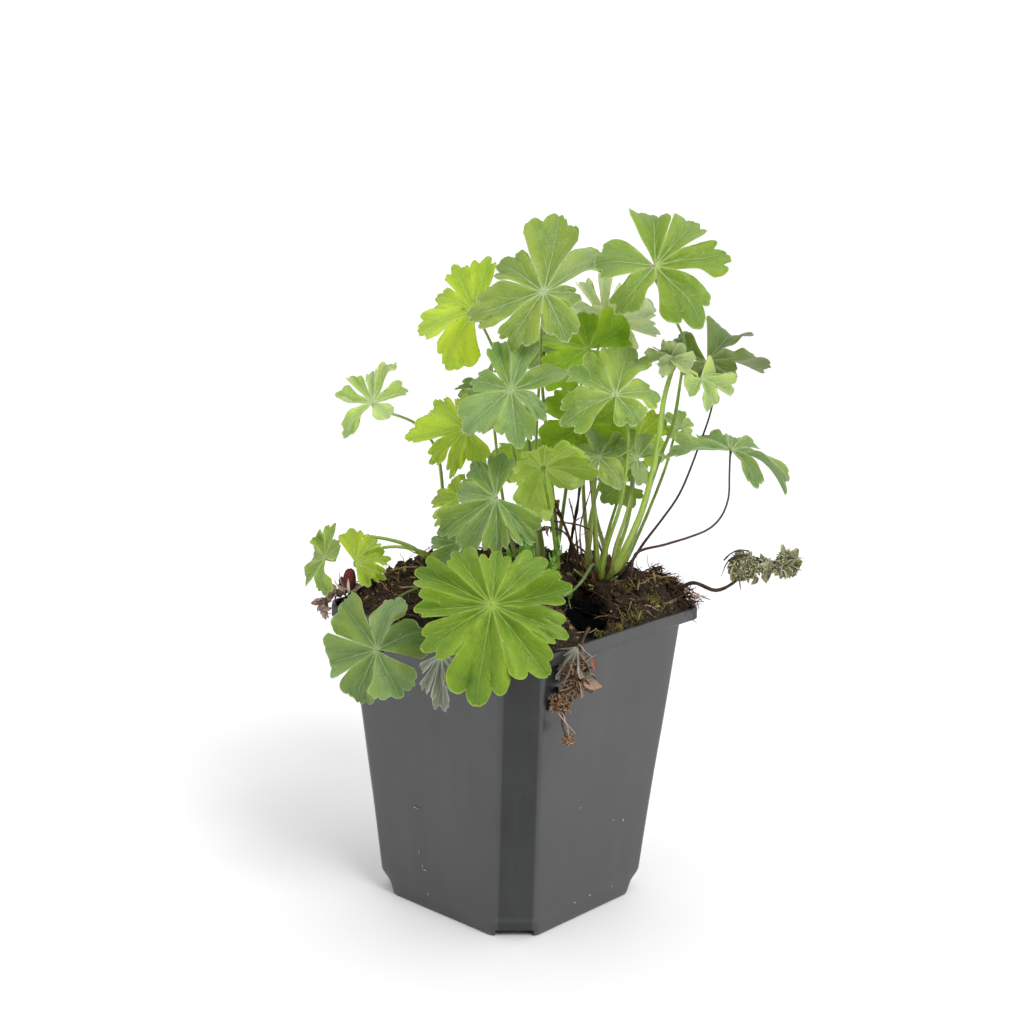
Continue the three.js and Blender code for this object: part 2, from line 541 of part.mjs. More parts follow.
// Height of the peat at a point of the pot's frame, t = 0 at the axis and 1 at the rim.
function soilHeight(x, y, t) {
  const turn = rad(PLANT_TURN);
  const plantX = x * Math.cos(turn) + y * Math.sin(turn);
  const plantY = -x * Math.sin(turn) + y * Math.cos(turn);
  const slope = 1 - t ** SOIL.shoulder;
  const crumbs = SOIL.grain * noise(x * 0.33, y * 0.33);
  let height = SOIL.edge + slope * (SOIL.mound + crumbs);
  for (const [atX, atY, radius, rise] of SOIL.relief) {
    const away = Math.hypot(plantX - atX, plantY - atY) / radius;
    height += slope * rise * Math.exp(-away * away);
  }
  return height;
}

// A ring of the peat's outline, at one height or on the mound's surface.
function soilRing(half, cut, height, t = 1) {
  const points = [];
  for (let i = 0; i < SOIL.sides; i += 1) {
    const angle = (2 * Math.PI * (i + 0.5)) / SOIL.sides;
    const reach = t * outlineReach(half - GAP, cut + POT.soften, angle);
    const x = reach * Math.cos(angle);
    const y = reach * Math.sin(angle);
    points.push(vec(x, y, height ?? soilHeight(x, y, t)));
  }
  return points;
}

function soilGeometry() {
  const rings = CAVITY.map(([z, half, cut]) => soilRing(half, cut, z + GAP));
  const [, rimHalf, rimCut] = CAVITY.at(-1);
  for (const t of SOIL.rings) rings.push(soilRing(rimHalf, rimCut, undefined, t));
  let soil = solidOf(loft(rings));
  for (const clearance of clearances) soil = soil.subtract(solidOf(clearance));
  return geometryOf(soil);
}

// ---------------------------------------------------------------- crowns, stalks and blades

// A rounded lump, its surface roughened by up to a share of its size, grown by extra all round.
function lumpGeometry({ at: place, size, rough = 0 }, extra = 0) {
  const lump = new THREE.IcosahedronGeometry(1, 1);
  const spots = lump.getAttribute('position');
  for (let i = 0; i < spots.count; i += 1) {
    const spot = new THREE.Vector3().fromBufferAttribute(spots, i);
    const swell = 1 + rough * noise(5 * spot.x + place[0], 5 * spot.y + 3 * spot.z);
    spots.setXYZ(i, spot.x * swell, spot.y * swell, spot.z * swell);
  }
  lump.scale(...size.map((s) => s + extra)).translate(...place);
  return lump;
}

function direction([azimuth, elevation]) {
  const a = rad(azimuth);
  const e = rad(elevation);
  return vec(Math.sin(a) * Math.cos(e), -Math.cos(a) * Math.cos(e), Math.sin(e));
}

// Where a stalk leaves what it grows from: just off the surface, and a little further out.
function seatPoints(seat) {
  if (!seat) return [];
  const { at: place, size } = SEATS[seat[0]];
  const ray = direction(seat.slice(1));
  const reach = 1 / Math.hypot(ray.x / size[0], ray.y / size[1], ray.z / size[2]);
  return [GAP, SEAT_RUN].map((out) => at(place).addScaledVector(ray, reach + out));
}

// The blade's axes: its upper normal and two directions in its plane.
function bladeAxes(face) {
  const normal = direction(face);
  const across = vec(Math.cos(rad(face[0])), Math.sin(rad(face[0])), 0);
  return { normal, across, along: normal.clone().cross(across) };
}

// Each lobe with the angle from its midrib to its edges, and to the seams with its neighbours.
// The widest opening is where the blade is cut to the hub.
function lobesOf(leaf) {
  const lobes = leaf.lobes.map(([heading, length, droop, half = WIDEST_HALF]) => (
    { heading, length, droop, half }));
  lobes.sort((a, b) => a.heading - b.heading);
  const next = (i) => lobes[(i + 1) % lobes.length];
  lobes.forEach((lobe, i) => { lobe.between = (next(i).heading - lobe.heading + 360) % 360; });
  const widest = lobes.reduce((a, b) => (b.between > a.between ? b : a));
  lobes.forEach((lobe, i) => {
    const open = lobe === widest && lobe.between > OPEN_FROM;
    const room = (leaf.fill * lobe.between) / 2;
    const edge = Math.min(room, lobe.half);
    const nextEdge = Math.min(room, next(i).half);
    const notch = leaf.cut * (open ? lobe.length : Math.min(lobe.length, next(i).length));
    Object.assign(lobe, { openAfter: open, after: edge, seamAfter: open ? edge : lobe.between / 2 });
    Object.assign(next(i), {
      openBefore: open, before: nextEdge, seamBefore: open ? nextEdge : lobe.between / 2,
    });
    lobe.notchAfter = notch;
    next(i).notchBefore = open ? leaf.cut * next(i).length : notch;
  });
  return lobes;
}

// A point of a lobe: its distance from the hub, its angle from the midrib, and how far across
// the lobe that is, from -1 to 1. The blade folds up along the midribs and droops to the tips.
function lobePoint(leaf, axes, lobe, reach, turn, across) {
  const angle = rad(lobe.heading + turn);
  const ray = axes.across.clone().multiplyScalar(Math.cos(angle))
    .addScaledVector(axes.along, Math.sin(angle));
  const curl = rad(lobe.droop) / lobe.length;
  const lift = leaf.fold * Math.abs(across) * reach;
  const out = Math.sin(curl * reach) / curl + lift * Math.sin(curl * reach);
  const down = (1 - Math.cos(curl * reach)) / curl - lift * Math.cos(curl * reach);
  return at(leaf.hub).addScaledVector(ray, out).addScaledVector(axes.normal, -down);
}

// The sheet of one blade: hub, a row at the notches, a row halfway, and the toothed rim.
function bladeGeometry(leaf) {
  const axes = bladeAxes(leaf.face);
  const lobes = lobesOf(leaf);
  const points = [at(leaf.hub)];
  const faces = [];
  const add = (point) => points.push(point) - 1;
  lobes.forEach((lobe, i) => {
    const next = lobes[(i + 1) % lobes.length];
    const mine = lobePoint(leaf, axes, lobe, lobe.notchAfter, lobe.seamAfter, 1);
    const theirs = lobePoint(leaf, axes, next, next.notchBefore, -next.seamBefore, -1);
    lobe.last = add(lobe.openAfter ? mine : mine.clone().lerp(theirs, 0.5));
    next.first = lobe.openAfter ? add(theirs) : lobe.last;
  });
  for (const lobe of lobes) {
    const place = (reach, across) => add(lobePoint(
      leaf, axes, lobe, reach, across * (across < 0 ? lobe.before : lobe.after), across));
    const middle = (lobe.notchBefore + lobe.notchAfter) / 2;
    const inner = [lobe.first, place(middle, 0), lobe.last];
    const small = lobe.length < SMALL_LOBE;
    const teeth = TEETH[small ? 0 : leaf.teeth ?? 3];
    const edge = teeth[0][1] * lobe.length;
    const half = small ? inner : [
      place((lobe.notchBefore + edge) / 2, -1),
      place((middle + edge) / 2, 0),
      place((lobe.notchAfter + edge) / 2, 1),
    ];
    const rim = teeth.map(([across, share]) => place(share * lobe.length, across));
    faces.push([0, inner[0], inner[1]], [0, inner[1], inner[2]]);
    for (const j of small ? [] : [0, 1]) {
      faces.push([inner[j], half[j], half[j + 1]], [inner[j], half[j + 1], inner[j + 1]]);
    }
    const last = rim.length - 1;
    const side = Math.floor((rim.length - 3) / 2);
    for (let j = 0; j < last; j += 1) {
      const from = j < side ? 0 : j < last - side ? 1 : 2;
      faces.push([half[from], rim[j], rim[j + 1]]);
    }
    faces.push([half[0], rim[side], half[1]], [half[1], rim[last - side], half[2]]);
  }
  return plate(points, faces, BLADE_THICKNESS);
}

// ---------------------------------------------------------------- the object

const object = new THREE.Group();
object.name = 'hardy_geranium';
const plant = new THREE.Group();
plant.rotation.z = rad(PLANT_TURN);
object.add(plant);
const clearances = []; // what the peat leaves free round each thing that stands in it

function addMesh(parent, name, geometry, { colour, roughness }) {
  const material = new THREE.MeshStandardMaterial({ color: colour, roughness, metalness: 0 });
  const mesh = new THREE.Mesh(geometry, material);
  mesh.name = name;
  parent.add(mesh);
}

function addCrown([name, crown]) {
  addMesh(plant, `crown_${name}`, lumpGeometry(crown), FINISH.crown);
  clearances.push(lumpGeometry(crown, LOOSE));
}

function addLeaf(leaf) {
  const hub = at(leaf.hub);
  const under = hub.clone().addScaledVector(direction(leaf.face), -UNDER_RUN);
  const points = [...seatPoints(leaf.seat), ...leaf.stalk.map(at), under, hub];
  const { start, end } = STALKS[leaf.kind ?? 'green'];
  const blade = solidOf(bladeGeometry(leaf));
  const stalk = solidOf(stalkGeometry(points, start, end));
  addMesh(plant, leaf.name, geometryOf(blade.add(stalk)), FINISH[leaf.finish ?? 'leaf']);
  clearances.push(stalkGeometry(points, start, end, LOOSE));
}

// A stem or a withered leaf: a stalk with any lumps on it, rooted in the peat or on a lump.
function addPiece(piece) {
  const points = [...seatPoints(piece.seat), ...piece.stalk.map(at)];
  const [start, end] = piece.radii;
  let solid = solidOf(stalkGeometry(points, start, end));
  for (const lump of piece.lumps ?? []) solid = solid.add(solidOf(lumpGeometry(lump)));
  addMesh(plant, piece.name, geometryOf(solid), FINISH[piece.finish]);
  clearances.push(stalkGeometry(points, start, end, LOOSE));
  for (const lump of piece.lumps ?? []) clearances.push(lumpGeometry(lump, LOOSE));
}

Object.entries(CROWNS).forEach(addCrown);
LEAVES.forEach(addLeaf);
PIECES.forEach(addPiece);
clearances.forEach((clearance) => clearance.rotateZ(rad(PLANT_TURN)));
addMesh(object, 'soil', soilGeometry(), FINISH.soil);
addMesh(object, 'pot', potGeometry(), FINISH.pot);

export default object;
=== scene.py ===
"""The looks of a hardy geranium in its square nursery pot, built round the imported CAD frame.

Lengths are millimetres until a mesh is made, which is in metres. The plant has a frame of its
own, turned about the pot's axis: x to the right, y to the back, z up from the ground.
"""

import math
from functools import cache

import bpy
import numpy as np
from mathutils import Matrix, Vector


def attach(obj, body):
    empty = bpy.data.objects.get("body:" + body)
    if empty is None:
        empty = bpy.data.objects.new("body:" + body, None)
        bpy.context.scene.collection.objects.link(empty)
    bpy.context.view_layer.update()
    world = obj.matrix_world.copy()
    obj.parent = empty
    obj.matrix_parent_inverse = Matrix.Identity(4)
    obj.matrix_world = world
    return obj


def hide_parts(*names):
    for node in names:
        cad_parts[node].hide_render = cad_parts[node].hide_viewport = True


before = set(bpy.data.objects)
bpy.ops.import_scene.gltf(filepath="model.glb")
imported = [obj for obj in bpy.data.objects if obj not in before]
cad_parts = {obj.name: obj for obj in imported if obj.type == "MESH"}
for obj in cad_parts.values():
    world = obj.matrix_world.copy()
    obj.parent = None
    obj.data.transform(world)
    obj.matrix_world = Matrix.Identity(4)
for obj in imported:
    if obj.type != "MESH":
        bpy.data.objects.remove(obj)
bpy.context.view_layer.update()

MM = 0.001
PLANT_TURN = math.radians(42.3)  # from the pot's X axis to the plant's own
RANDOM = np.random.default_rng(20)

# ---------------------------------------------------------------- driving dimensions

POT_HEIGHT = 100.0
RIM_HALF, TOP_HALF, LOW_HALF, BASE_HALF = 45.0, 42.85, 34.8, 33.0  # half widths, rim to ground
WALL, FLOOR = 1.2, 1.5  # their thickness
COLLAR = 4.0  # height of the rim's upright edge
COLLAR_FOOT = POT_HEIGHT - COLLAR
RIM_CUT, TOP_CUT, LOW_CUT, FOOT_CUT = 5.1, 9.4, 8.2, 10.4  # what the flat corners take off
STEP_LOW, STEP_HIGH = 4.5, 8.5  # the step in the corner runs between these heights
SOFTEN = 1.3  # how far the corner edges are rounded off
CORNER_THIN = WALL * (2 - math.sqrt(2))  # the inside's corner cuts are this much smaller
WALL_BOW, WALL_WAVE = 0.35, 0.12  # how far the sides bow in and wave
# Notches under the corners and holes in the floor; reach is how far from the middle they begin,
# or how far along both sides they lie, and depth is how far their cutter goes.
NOTCH_HEIGHT, NOTCH_WIDTH, NOTCH_REACH, NOTCH_DEPTH = 2.1, 12.5, 34.6, 20.0
DRAIN_RADIUS, DRAIN_REACH, DRAIN_DEPTH = 3.5, 14.0, 8.0

GAP = 0.3  # between the peat and the pot
SOIL_EDGE, SOIL_MOUND = 98.8, 12.0  # the peat's height at the wall, and its rise in the middle
SOIL_SHOULDER = 5.0  # the higher, the steeper it falls off near the wall
# Hollows and heaps in the plant's frame: x, y, radius, rise.
SOIL_RELIEF = [(26, -19, 12, -12), (28, 3, 8, -5), (29, 17, 9, 4), (-29, 12, 10, 4), (9, 5, 7, -4),
               (-20, 0, 7, -4), (50, 7, 10, 5)]
# The hollow in front, painted dark as shade: its middle, its half size, and how much deeper than in
# CAD.
HOLLOW_AT, HOLLOW_SIZE, HOLLOW_DEEPER = (22.0, -20.0), (9.0, 22.0), 5.0
PEAT_HALF = RIM_HALF - WALL - GAP
PEAT_CUT = RIM_CUT - CORNER_THIN + SOFTEN

# What the stalks grow from: middle and half size.
CROWNS = {
    "main": ((28, 2, 105), (6.5, 6, 6.5)),
    "middle": ((9, 5, 104.5), (5.5, 5.5, 5.5)),
    "left": ((-20, 0, 104), (5, 4.5, 5)),
}
BUD = ((49, 0, 180), (4.2, 3.4, 4.6))
SEATS = {**CROWNS, "bud": BUD}
SEAT_RUN, UNDER_RUN = 4.0, 3.5  # how far a stalk runs straight from its seat, and to its blade
STALK_FOOT, STALK_NECK = 0.78, 0.42  # a stalk's radius at its foot and under its blade

WIDEST_HALF = 31.0  # degrees from a lobe's midrib to its edge, at most
OPEN_FROM = 62.0  # a wider angle between two lobes is cut to the hub
WIDER = 1.3  # the lobes' rounded sides stand this much wider than the CAD model's straight ones
DROOPIER, DROOPIER_FROM = 1.35, 14  # lobes longer than this droop this much more than the CAD's
FOLDIER = 1.5  # and every lobe is folded this much more
SMALL_LOBE = 9.5  # shorter lobes have fewer faces, plain rounded ends and no hairs
BLADE_HALF, SCALE_HALF = 0.14, 0.09  # half the thickness of a blade, and of a dry scale
RIB = 0.16  # how far the veins stand out below
QUILT = 0.62  # how far the blade stands up between its veins
SWAY, RUFFLE, SMALL_RUFFLE = 2.4, 1.75, 0.6  # its broad waves, and narrower ones near the rim
TIP_TURN, SMALL_TIP_TURN = 2.1, 0.3  # how far a lobe's tip turns up or down
TWIST = 38  # degrees that a lobe may be twisted at its tip
HAIR_THICK, HAIR_SUNK = 0.035, 0.05  # a hair's radius, and how deep its foot sits
VEIN_BEND = 0.75  # power by which a side vein leaves its midrib; below 1 it bends outwards

# Camera, as measured from the pot's edges: lens in mm, place in mm, turn and tilt in degrees.
LENS, SENSOR = 70.98, 36
CAMERA_PLACE = (428.74, -472.94, 287.81)
CAMERA_AZIMUTH, CAMERA_ELEVATION, CAMERA_ROLL = 42.34, 13.81, 1.10

# The sun stands to the right of the camera: degrees from it, elevation, strength, softness.
SUN_ASIDE, SUN_ELEVATION, SUN_STRENGTH, SUN_SOFTNESS = 34, 45, 1.7, 24
STAGE_HALF, STAGE_DROP = 60000.0, 0.0002  # the floor's half width, and metres below the ground


# ---------------------------------------------------------------- the leaves

class Look:
    """How a leaf is coloured and how its stalk looks."""

    under, vein, edge = "#a9bd86", "#c9da90", "#8a6a3c"  # underside, veins, dry rim
    through, glow = "#e7ff81", 1.0  # the light that passes: its colour and how much
    rough, teeth = 0.43, 3
    stalk, base, girth = "#8fab3e", "#98a540", 1.0  # at the blade, at the foot, how stout

    def __init__(self, colour, **own):
        vars(self).update(own, colour=colour)


GREEN = Look("#7fa02f", edge="#93878c")
PALEST = Look("#dfe9c0", under="#e6ecd2", vein="#f4f8e4", glow=1.4, stalk="#9aac58",
              base="#6f6444", through="#f4ffd0")
LEFT = Look("#98b64c", under="#a6c25a", vein="#cfdf90")
PALE = Look("#98b655", under="#bccfa0", vein="#d9e6ae")
LIGHT = Look("#c3d98a", under="#dbe5c6", vein="#ecf3d4", glow=1.2, stalk="#9aac58", base="#6f6444")
GREY = Look("#92ac52", under="#b3c79d", vein="#d3e0b0", stalk="#8d9a4a", base="#6a5a3c")
YELLOW = Look("#c9dc4e", under="#d6e586", vein="#e6efa0", glow=1.6)
LEMON = Look("#b6cb30", under="#e0ee96", vein="#f4f8b8", glow=1.6)
BLUE = Look("#84a552", under="#a5bd92", vein="#c6d8a0", stalk="#768c45", base="#5f6238")
DARK = Look("#5b7426", under="#76883f", vein="#9cac5e", edge="#a598a0", stalk="#3f2b29",
            base="#241815", glow=0.6, girth=0.62)
DROOP = Look("#86a362", under="#a5bd92", vein="#cbd9ab", stalk="#43302c", base="#1f1513",
             girth=0.66)
BROAD = Look("#7f9f57", under="#9fb78c", vein="#c4d69c", stalk="#6c8038", base="#4c4a2c", teeth=0,
             girth=0.8)
FRONT = Look("#7a9f22", under="#8fb03e", vein="#bcd65c", stalk="#8a9562", base="#767a48",
             girth=0.62)
BRIGHT = Look("#9cc02c", under="#bcd568", vein="#d6e97c", glow=1.3)
WITHERED = Look("#9ca28c", under="#aab09a", vein="#f4f6ea", glow=0.5, rough=0.7, teeth=5,
                stalk="#6b5c48", base="#4a3b2c", girth=0.7, through="#c9c6ae")
DRIED = Look("#7e7f42", under="#9c9860", vein="#d6d6b4", glow=0.4, rough=0.75, teeth=5,
             through="#b3ad7c")
RUST = Look("#3e1f0e", under="#824a22", vein="#c8a678", glow=0.4, rough=0.7, teeth=5,
            through="#b06a30")
MAUVE = Look("#756a64", under="#857b72", vein="#c2bda9", glow=0.7, rough=0.7, through="#b0a49a")
YOUNG = Look("#cbdc98", under="#e4ecd0", vein="#f2f7e2", glow=1.5, through="#f4ffd0")


class Leaf:
    """One leaf, in the CAD model's terms.

    hub: where the lobes meet. face: azimuth and elevation of the upper side's normal. form: rise
    of the lobes' edges over their midribs, share of the blade that the lobes hold together, and
    share of its sector that a lobe fills. lobes: heading, length, droop at the tip, half the
    width, and the share of it that is joined to the next lobe. seat: what the stalk grows from,
    and where. stalk: what it passes. grow: how much longer its lobes are than the table says.
    rounding: how much shorter a lobe is at its corners. jag: how deep its small teeth are.
    crumple: how far its surface is crushed.
    """

    grow, rounding, jag, crumple = 1.0, 0.12, 1.0, 0.0

    def __init__(self, name, look, slot, hub, face, form, lobes, seat=None, stalk=(), **own):
        self.name, self.look, self.slot, self.face = name, look, slot, face
        self.hub = np.array(hub, float)
        self.fold, self.cut, self.fill = form
        self.lobes, self.seat, self.stalk = lobes, seat, stalk
        vars(self).update(own)


LEAVES = [
    Leaf("leaf_top_right", GREEN, "leaf_green", (41.6, -7, 212.7), (10, 38), (0.1, 0.22, 0.98),
         [(15, 28, 12, 21), (49, 29, 26, 15, 0.3), (84, 25, 22, 22, 0.3), (171, 20, 20, 25, 0.42),
         (226, 19, 25, 17), (307, 24, 12, 36)], ("main", 112, 45), [(40, 8, 126), (46, 12, 145),
         (50.5, 11, 159), (52, 8, 172), (52.5, 6.2, 179), (52.5, 2, 187.5), (48.5, -3, 196)]),
    Leaf("leaf_top_centre", GREY, "leaf_green", (7, -8, 204), (-5, 42), (0.12, 0.25, 0.98),
         [(0, 12, 10, 24, 0.5), (40, 31, 12, 22, 0.6), (84, 30, 10, 34, 0.6), (142, 20, 10, 24),
         (198, 26, 20, 25, 0.6), (240, 22, 15, 22, 0.5), (298, 18, 15, 30)], ("middle", 100, 62),
         [(11, 12, 140), (8, 12, 165), (6.5, 6, 184)]),
    Leaf("leaf_top_left", YELLOW, "leaf_yellow", (-15.1, 8, 195.3), (-15, 30), (0.12, 0.25, 0.98),
         [(40, 13, 10, 22, 0.7), (84, 19, 10, 24, 0.85), (122, 20, 10, 24, 0.85),
         (156, 18, 10, 20, 0.3), (200, 20.5, 12, 26, 0.7), (247, 20.5, 12, 30)],
         ("middle", 215, 62), [(-1, 15, 145), (-8, 14, 180)]),
    Leaf("leaf_left_small", LIGHT, "leaf_green", (-47, 0, 166.1), (-10, 48), (0.22, 0.16, 0.98),
         [(31, 12.5, 10, 11), (83, 21, 5, 9), (103, 16, 5, 9), (131, 14, 8, 15),
         (175, 12.5, 15, 15), (232, 14, 20, 17), (320, 8, 25, 30)], ("left", 215, 60),
         [(-24, 6, 130), (-27, 7, 150), (-33, 6, 158), (-40, 2, 162)]),
    Leaf("leaf_mid_left", YELLOW, "leaf_yellow", (-16.6, -5, 159.5), (-15, 35),
         (0.12, 0.35, 0.98), [(60, 12, 10, 20), (108, 13.5, 10, 22, 0.7),
         (143, 16.5, 10, 20, 0.72), (195, 19, 10, 24, 0.7), (226, 16, 15, 16, 0.4),
         (256, 15, 18, 17), (300, 13, 18, 20)], ("left", 60, 72), [(-14, 0, 135)], grow=1.08),
    Leaf("leaf_blue", BLUE, "leaf_blue", (-2.7, -22, 175.2), (0, 40), (0.14, 0.3, 0.98),
         [(23, 20, 12, 23), (76, 22, 10, 15, 0.6), (108, 17, 10, 16), (160, 14, 20, 24),
         (223, 20, 15, 24, 0.5), (277, 21, 15, 24), (331, 13.5, 18, 22)], ("middle", 0, 85),
         [(6, 0, 135), (2, -10, 162)]),
    Leaf("leaf_centre", PALE, "leaf_green", (30.2, -15, 173), (5, 48), (0.12, 0.36, 0.98),
         [(13, 15.5, 12, 28, 0.3), (74, 23.5, 10, 26, 0.55), (142, 19, 12, 28, 0.6),
         (208, 21, 15, 20, 0.4), (302, 13, 20, 32)], ("main", 0, 50), [(29, -7, 121),
         (33.5, -12, 140), (34, -13, 164)]),
    Leaf("leaf_bright_back", BRIGHT, "leaf_green", (22, 6, 184), (0, 48), (0.12, 0.3, 0.99),
         [(40, 12, 10), (100, 10, 10), (155, 13, 10), (215, 13, 10), (300, 10, 20)],
         ("middle", 150, 40), [(16, 13, 135), (18, 12, 160)], grow=1.42),
    Leaf("leaf_pale_right", PALEST, "leaf_green", (30, 18, 190), (10, 58), (0.14, 0.28, 0.99),
         [(350, 15, 25), (28, 16, 15), (75, 13, 10), (140, 11, 10), (215, 10, 15), (300, 11, 25)],
         ("main", 160, 58), [(26, 20, 128), (26, 22, 150), (29, 20, 176)], grow=1.15),
    Leaf("leaf_narrow", PALEST, "leaf_green", (28, 30, 190), (0, 25), (0.3, 0.25, 0.72),
         [(62, 13, 10), (90, 15, 10), (122, 14, 15), (155, 11, 25)], ("main", 215, 55),
         [(22, 20, 136), (23, 26, 165), (26, 30, 180)], grow=1.2),
    Leaf("leaf_dark_right", DARK, "leaf_olive", (61, 13.5, 179.3), (0, 55), (0.2, 0.25, 0.98),
         [(21, 21, 40, 20), (62, 24, 30, 20), (149, 15.5, 20, 25), (235, 10, 20, 25),
         (290, 9, 20, 25), (330, 10, 30, 20)], ("main", 88, 40), [(42, 2.5, 121),
         (47.5, 3.5, 128.5), (53, 4.5, 137), (59, 5.5, 153.5), (62.3, 7, 164), (63.3, 11, 170)],
         grow=1.15),
    Leaf("leaf_droop_right", DROOP, "leaf_blue", (68, -6, 154.2), (0, 66), (0.2, 0.25, 0.98),
         [(350, 23.5, 50, 22), (30, 12, 30, 25), (80, 12, 20, 25), (130, 15, 15, 20),
         (179, 20.5, 12, 16), (305, 15, 25, 16)], ("main", 68, 19), [(39, 0, 117.5),
         (48.5, -2, 121.5), (57, -4, 125), (62.5, -5, 128), (66, -5, 132), (68, -5, 138),
         (68, -5, 146)]),
    Leaf("leaf_olive", LIGHT, "leaf_olive", (58, 1, 176), (25, 50), (0.35, 0.25, 0.7),
         [(225, 9, 20), (270, 11, 30), (325, 12, 30), (20, 8, 20)], ("bud", 100, -20), []),
    Leaf("leaf_underside", LEMON, "leaf_yellow", (8, -18, 150), (0, 148), (0.08, 0.6, 0.98),
         [(43, 17, 10, 25), (103, 20, 10, 24), (158, 12, 10, 26), (196, 11, 10, 16),
         (235, 12, 10, 22), (272, 14, 10, 16), (307, 20, 10, 22), (352, 18, 12, 22)],
         ("middle", 50, 50), [(13, -2, 118), (11, -10, 132)]),
    Leaf("leaf_mid_dark", BLUE, "leaf_blue", (-6.7, -28, 142.2), (-10, 25), (0.2, 0.5, 0.98),
         [(90, 15.5, 8, 22), (128, 15, 10, 20), (174, 13.5, 15, 24), (214, 22, 14, 17),
         (246, 22, 12, 16), (277, 20, 12, 16), (315, 19, 12, 22)], ("middle", 335, 52),
         [(3, -8, 120)]),
    Leaf("leaf_front", FRONT, "leaf_green", (-7.1, -55, 115.5), (-5, 32), (0.15, 0.8, 1),
         [(13, 26, 5, 16), (48, 23.5, 5, 20), (90, 18, 8, 20), (128, 22.5, 10, 19),
         (158, 27.5, 5, 14, 0.7), (189, 23.5, 5, 15), (215, 26, 8, 17, 0.7),
         (264, 31, 12, 23, 0.72), (311, 28, 10, 20, 0.6), (342, 25.5, 8, 13, 0.56)],
         ("main", 325, 62), [(21.7, -9, 110.9), (18, -15, 108.6), (12, -28, 109.8),
         (4, -41, 112.3)], rounding=0.05, jag=0.4),
    Leaf("leaf_front_left", BROAD, "leaf_blue", (-42.7, -40, 95.8), (-28, 24), (0.15, 0.34, 0.99),
         [(36, 15.5, 10, 27), (88, 18, 5, 28), (140, 20, 5, 26), (203, 18.5, 8, 26),
         (254, 18, 10, 26), (308, 17.5, 12, 29)], ("left", 300, 18), [(-30, -14, 109),
         (-38, -24, 107.5), (-42, -32.5, 103.5)], rounding=0.06),
    Leaf("leaf_far_left", LEFT, "leaf_green", (-62, -5, 115.5), (-62, 20), (0.12, 0.86, 0.99),
         [(45, 9, 5), (95, 12, 5), (135, 11, 10), (190, 16, 20), (240, 13, 10), (285, 13, 5)],
         ("left", 232, 30), [(-34, 8, 116), (-50, 7, 120), (-58, 0, 120)], rounding=0.05),
    Leaf("leaf_left_pair", YELLOW, "leaf_green", (-52, -8, 115), (5, 35), (0.15, 0.55, 0.99),
         [(12, 12, 10, 25), (52, 12, 10, 25), (95, 12.5, 10, 25), (300, 10, 10, 18),
         (335, 11, 10, 18)], ("left", 275, 42), [(-26, -3, 115), (-33, -5, 119), (-41, -6, 120),
         (-48, -7, 118)], rounding=0.06),
    Leaf("leaf_left_tiny", YELLOW, "leaf_yellow", (-18.5, -6, 137), (-30, 35), (0.15, 0.35, 0.99),
         [(70, 7, 10), (130, 8, 10), (190, 8, 10), (250, 9, 10)], ("left", 330, 62),
         [(-20, -4, 124)], grow=1.45),
    Leaf("leaf_left_low", BLUE, "leaf_green", (-18, -13, 124), (-20, 30), (0.15, 0.35, 0.99),
         [(60, 8, 10), (120, 8, 10), (180, 8, 10), (240, 9, 10)], ("left", 350, 22),
         [(-19, -9, 115)], grow=1.45),
    Leaf("leaf_mid_green", BRIGHT, "leaf_green", (22, 2, 160), (0, 40), (0.1, 0.35, 0.99),
         [(30, 13, 10), (90, 12, 10), (150, 12, 10), (215, 13, 10), (265, 12, 10), (320, 12, 10)],
         ("main", 250, 82), [(25, 2, 135)], grow=1.42),
    Leaf("leaf_grey_small", GREY, "leaf_green", (25.5, -12, 152.5), (10, 55), (0.12, 0.35, 0.99),
         [(25, 9, 10), (85, 9, 10), (150, 8, 10), (215, 6.5, 10), (300, 9, 10)],
         ("main", 310, 55), [(24, -6, 125)], grow=1.4),
    Leaf("leaf_yellow", LEMON, "leaf_yellow", (39.2, 15.3, 153), (0, 35), (0.1, 0.4, 0.99),
         [(45, 10, 10), (95, 11, 10), (145, 10, 10), (205, 8, 10), (330, 8, 10)],
         ("main", 120, 62), [(37, 9, 128)], grow=1.35),
    Leaf("leaf_dark_low", GREY, "leaf_green", (38.5, 0.5, 149.5), (22, 50), (0.14, 0.35, 0.99),
         [(18, 12, 25, 20), (60, 10, 15), (110, 9, 10), (160, 11, 10), (205, 9, 15),
         (255, 8, 20)], ("main", 25, 45), [(32, -6.5, 121), (36, -3, 134)], grow=1.25),
    Leaf("leaf_low", GREEN, "leaf_green", (35, 19, 137), (0, 42), (0.12, 0.35, 0.99),
         [(45, 9, 10), (95, 8, 10), (145, 8, 10), (225, 7.5, 10), (290, 8, 10)],
         ("main", 180, 30), [(31, 17, 122)], grow=1.3),
    Leaf("leaf_right_small", LIGHT, "leaf_green", (53.5, 20, 156), (20, 35), (0.14, 0.35, 0.99),
         [(25, 6, 10), (75, 7, 10), (130, 7, 10), (200, 6, 10), (320, 5, 10)], ("main", 135, 25),
         [(42, 14, 124), (49.5, 20, 143)]),
    Leaf("withered_leaf_left", WITHERED, "withered", (-22.5, -48, 97.5), (-22, 12),
         (0.2, 0.2, 0.9), [(225, 9, 15, 12), (252, 14, 15, 12), (278, 18, 10, 12),
         (304, 12.5, 15, 12), (335, 8, 15, 12)], None, [(-20, -31, 98.5), (-20, -36, 102.5),
         (-21, -43, 103), (-21.5, -45.6, 100.5)]),
    Leaf("leaf_back_centre", GREEN, "leaf_green", (8, 34, 178), (160, 50), (0.12, 0.25, 0.87),
         [(0, 17, 15), (50, 18, 10), (100, 20, 10), (150, 18, 15), (205, 16, 20), (310, 15, 20)],
         ("middle", 185, 42), [(6, 20, 140)]),
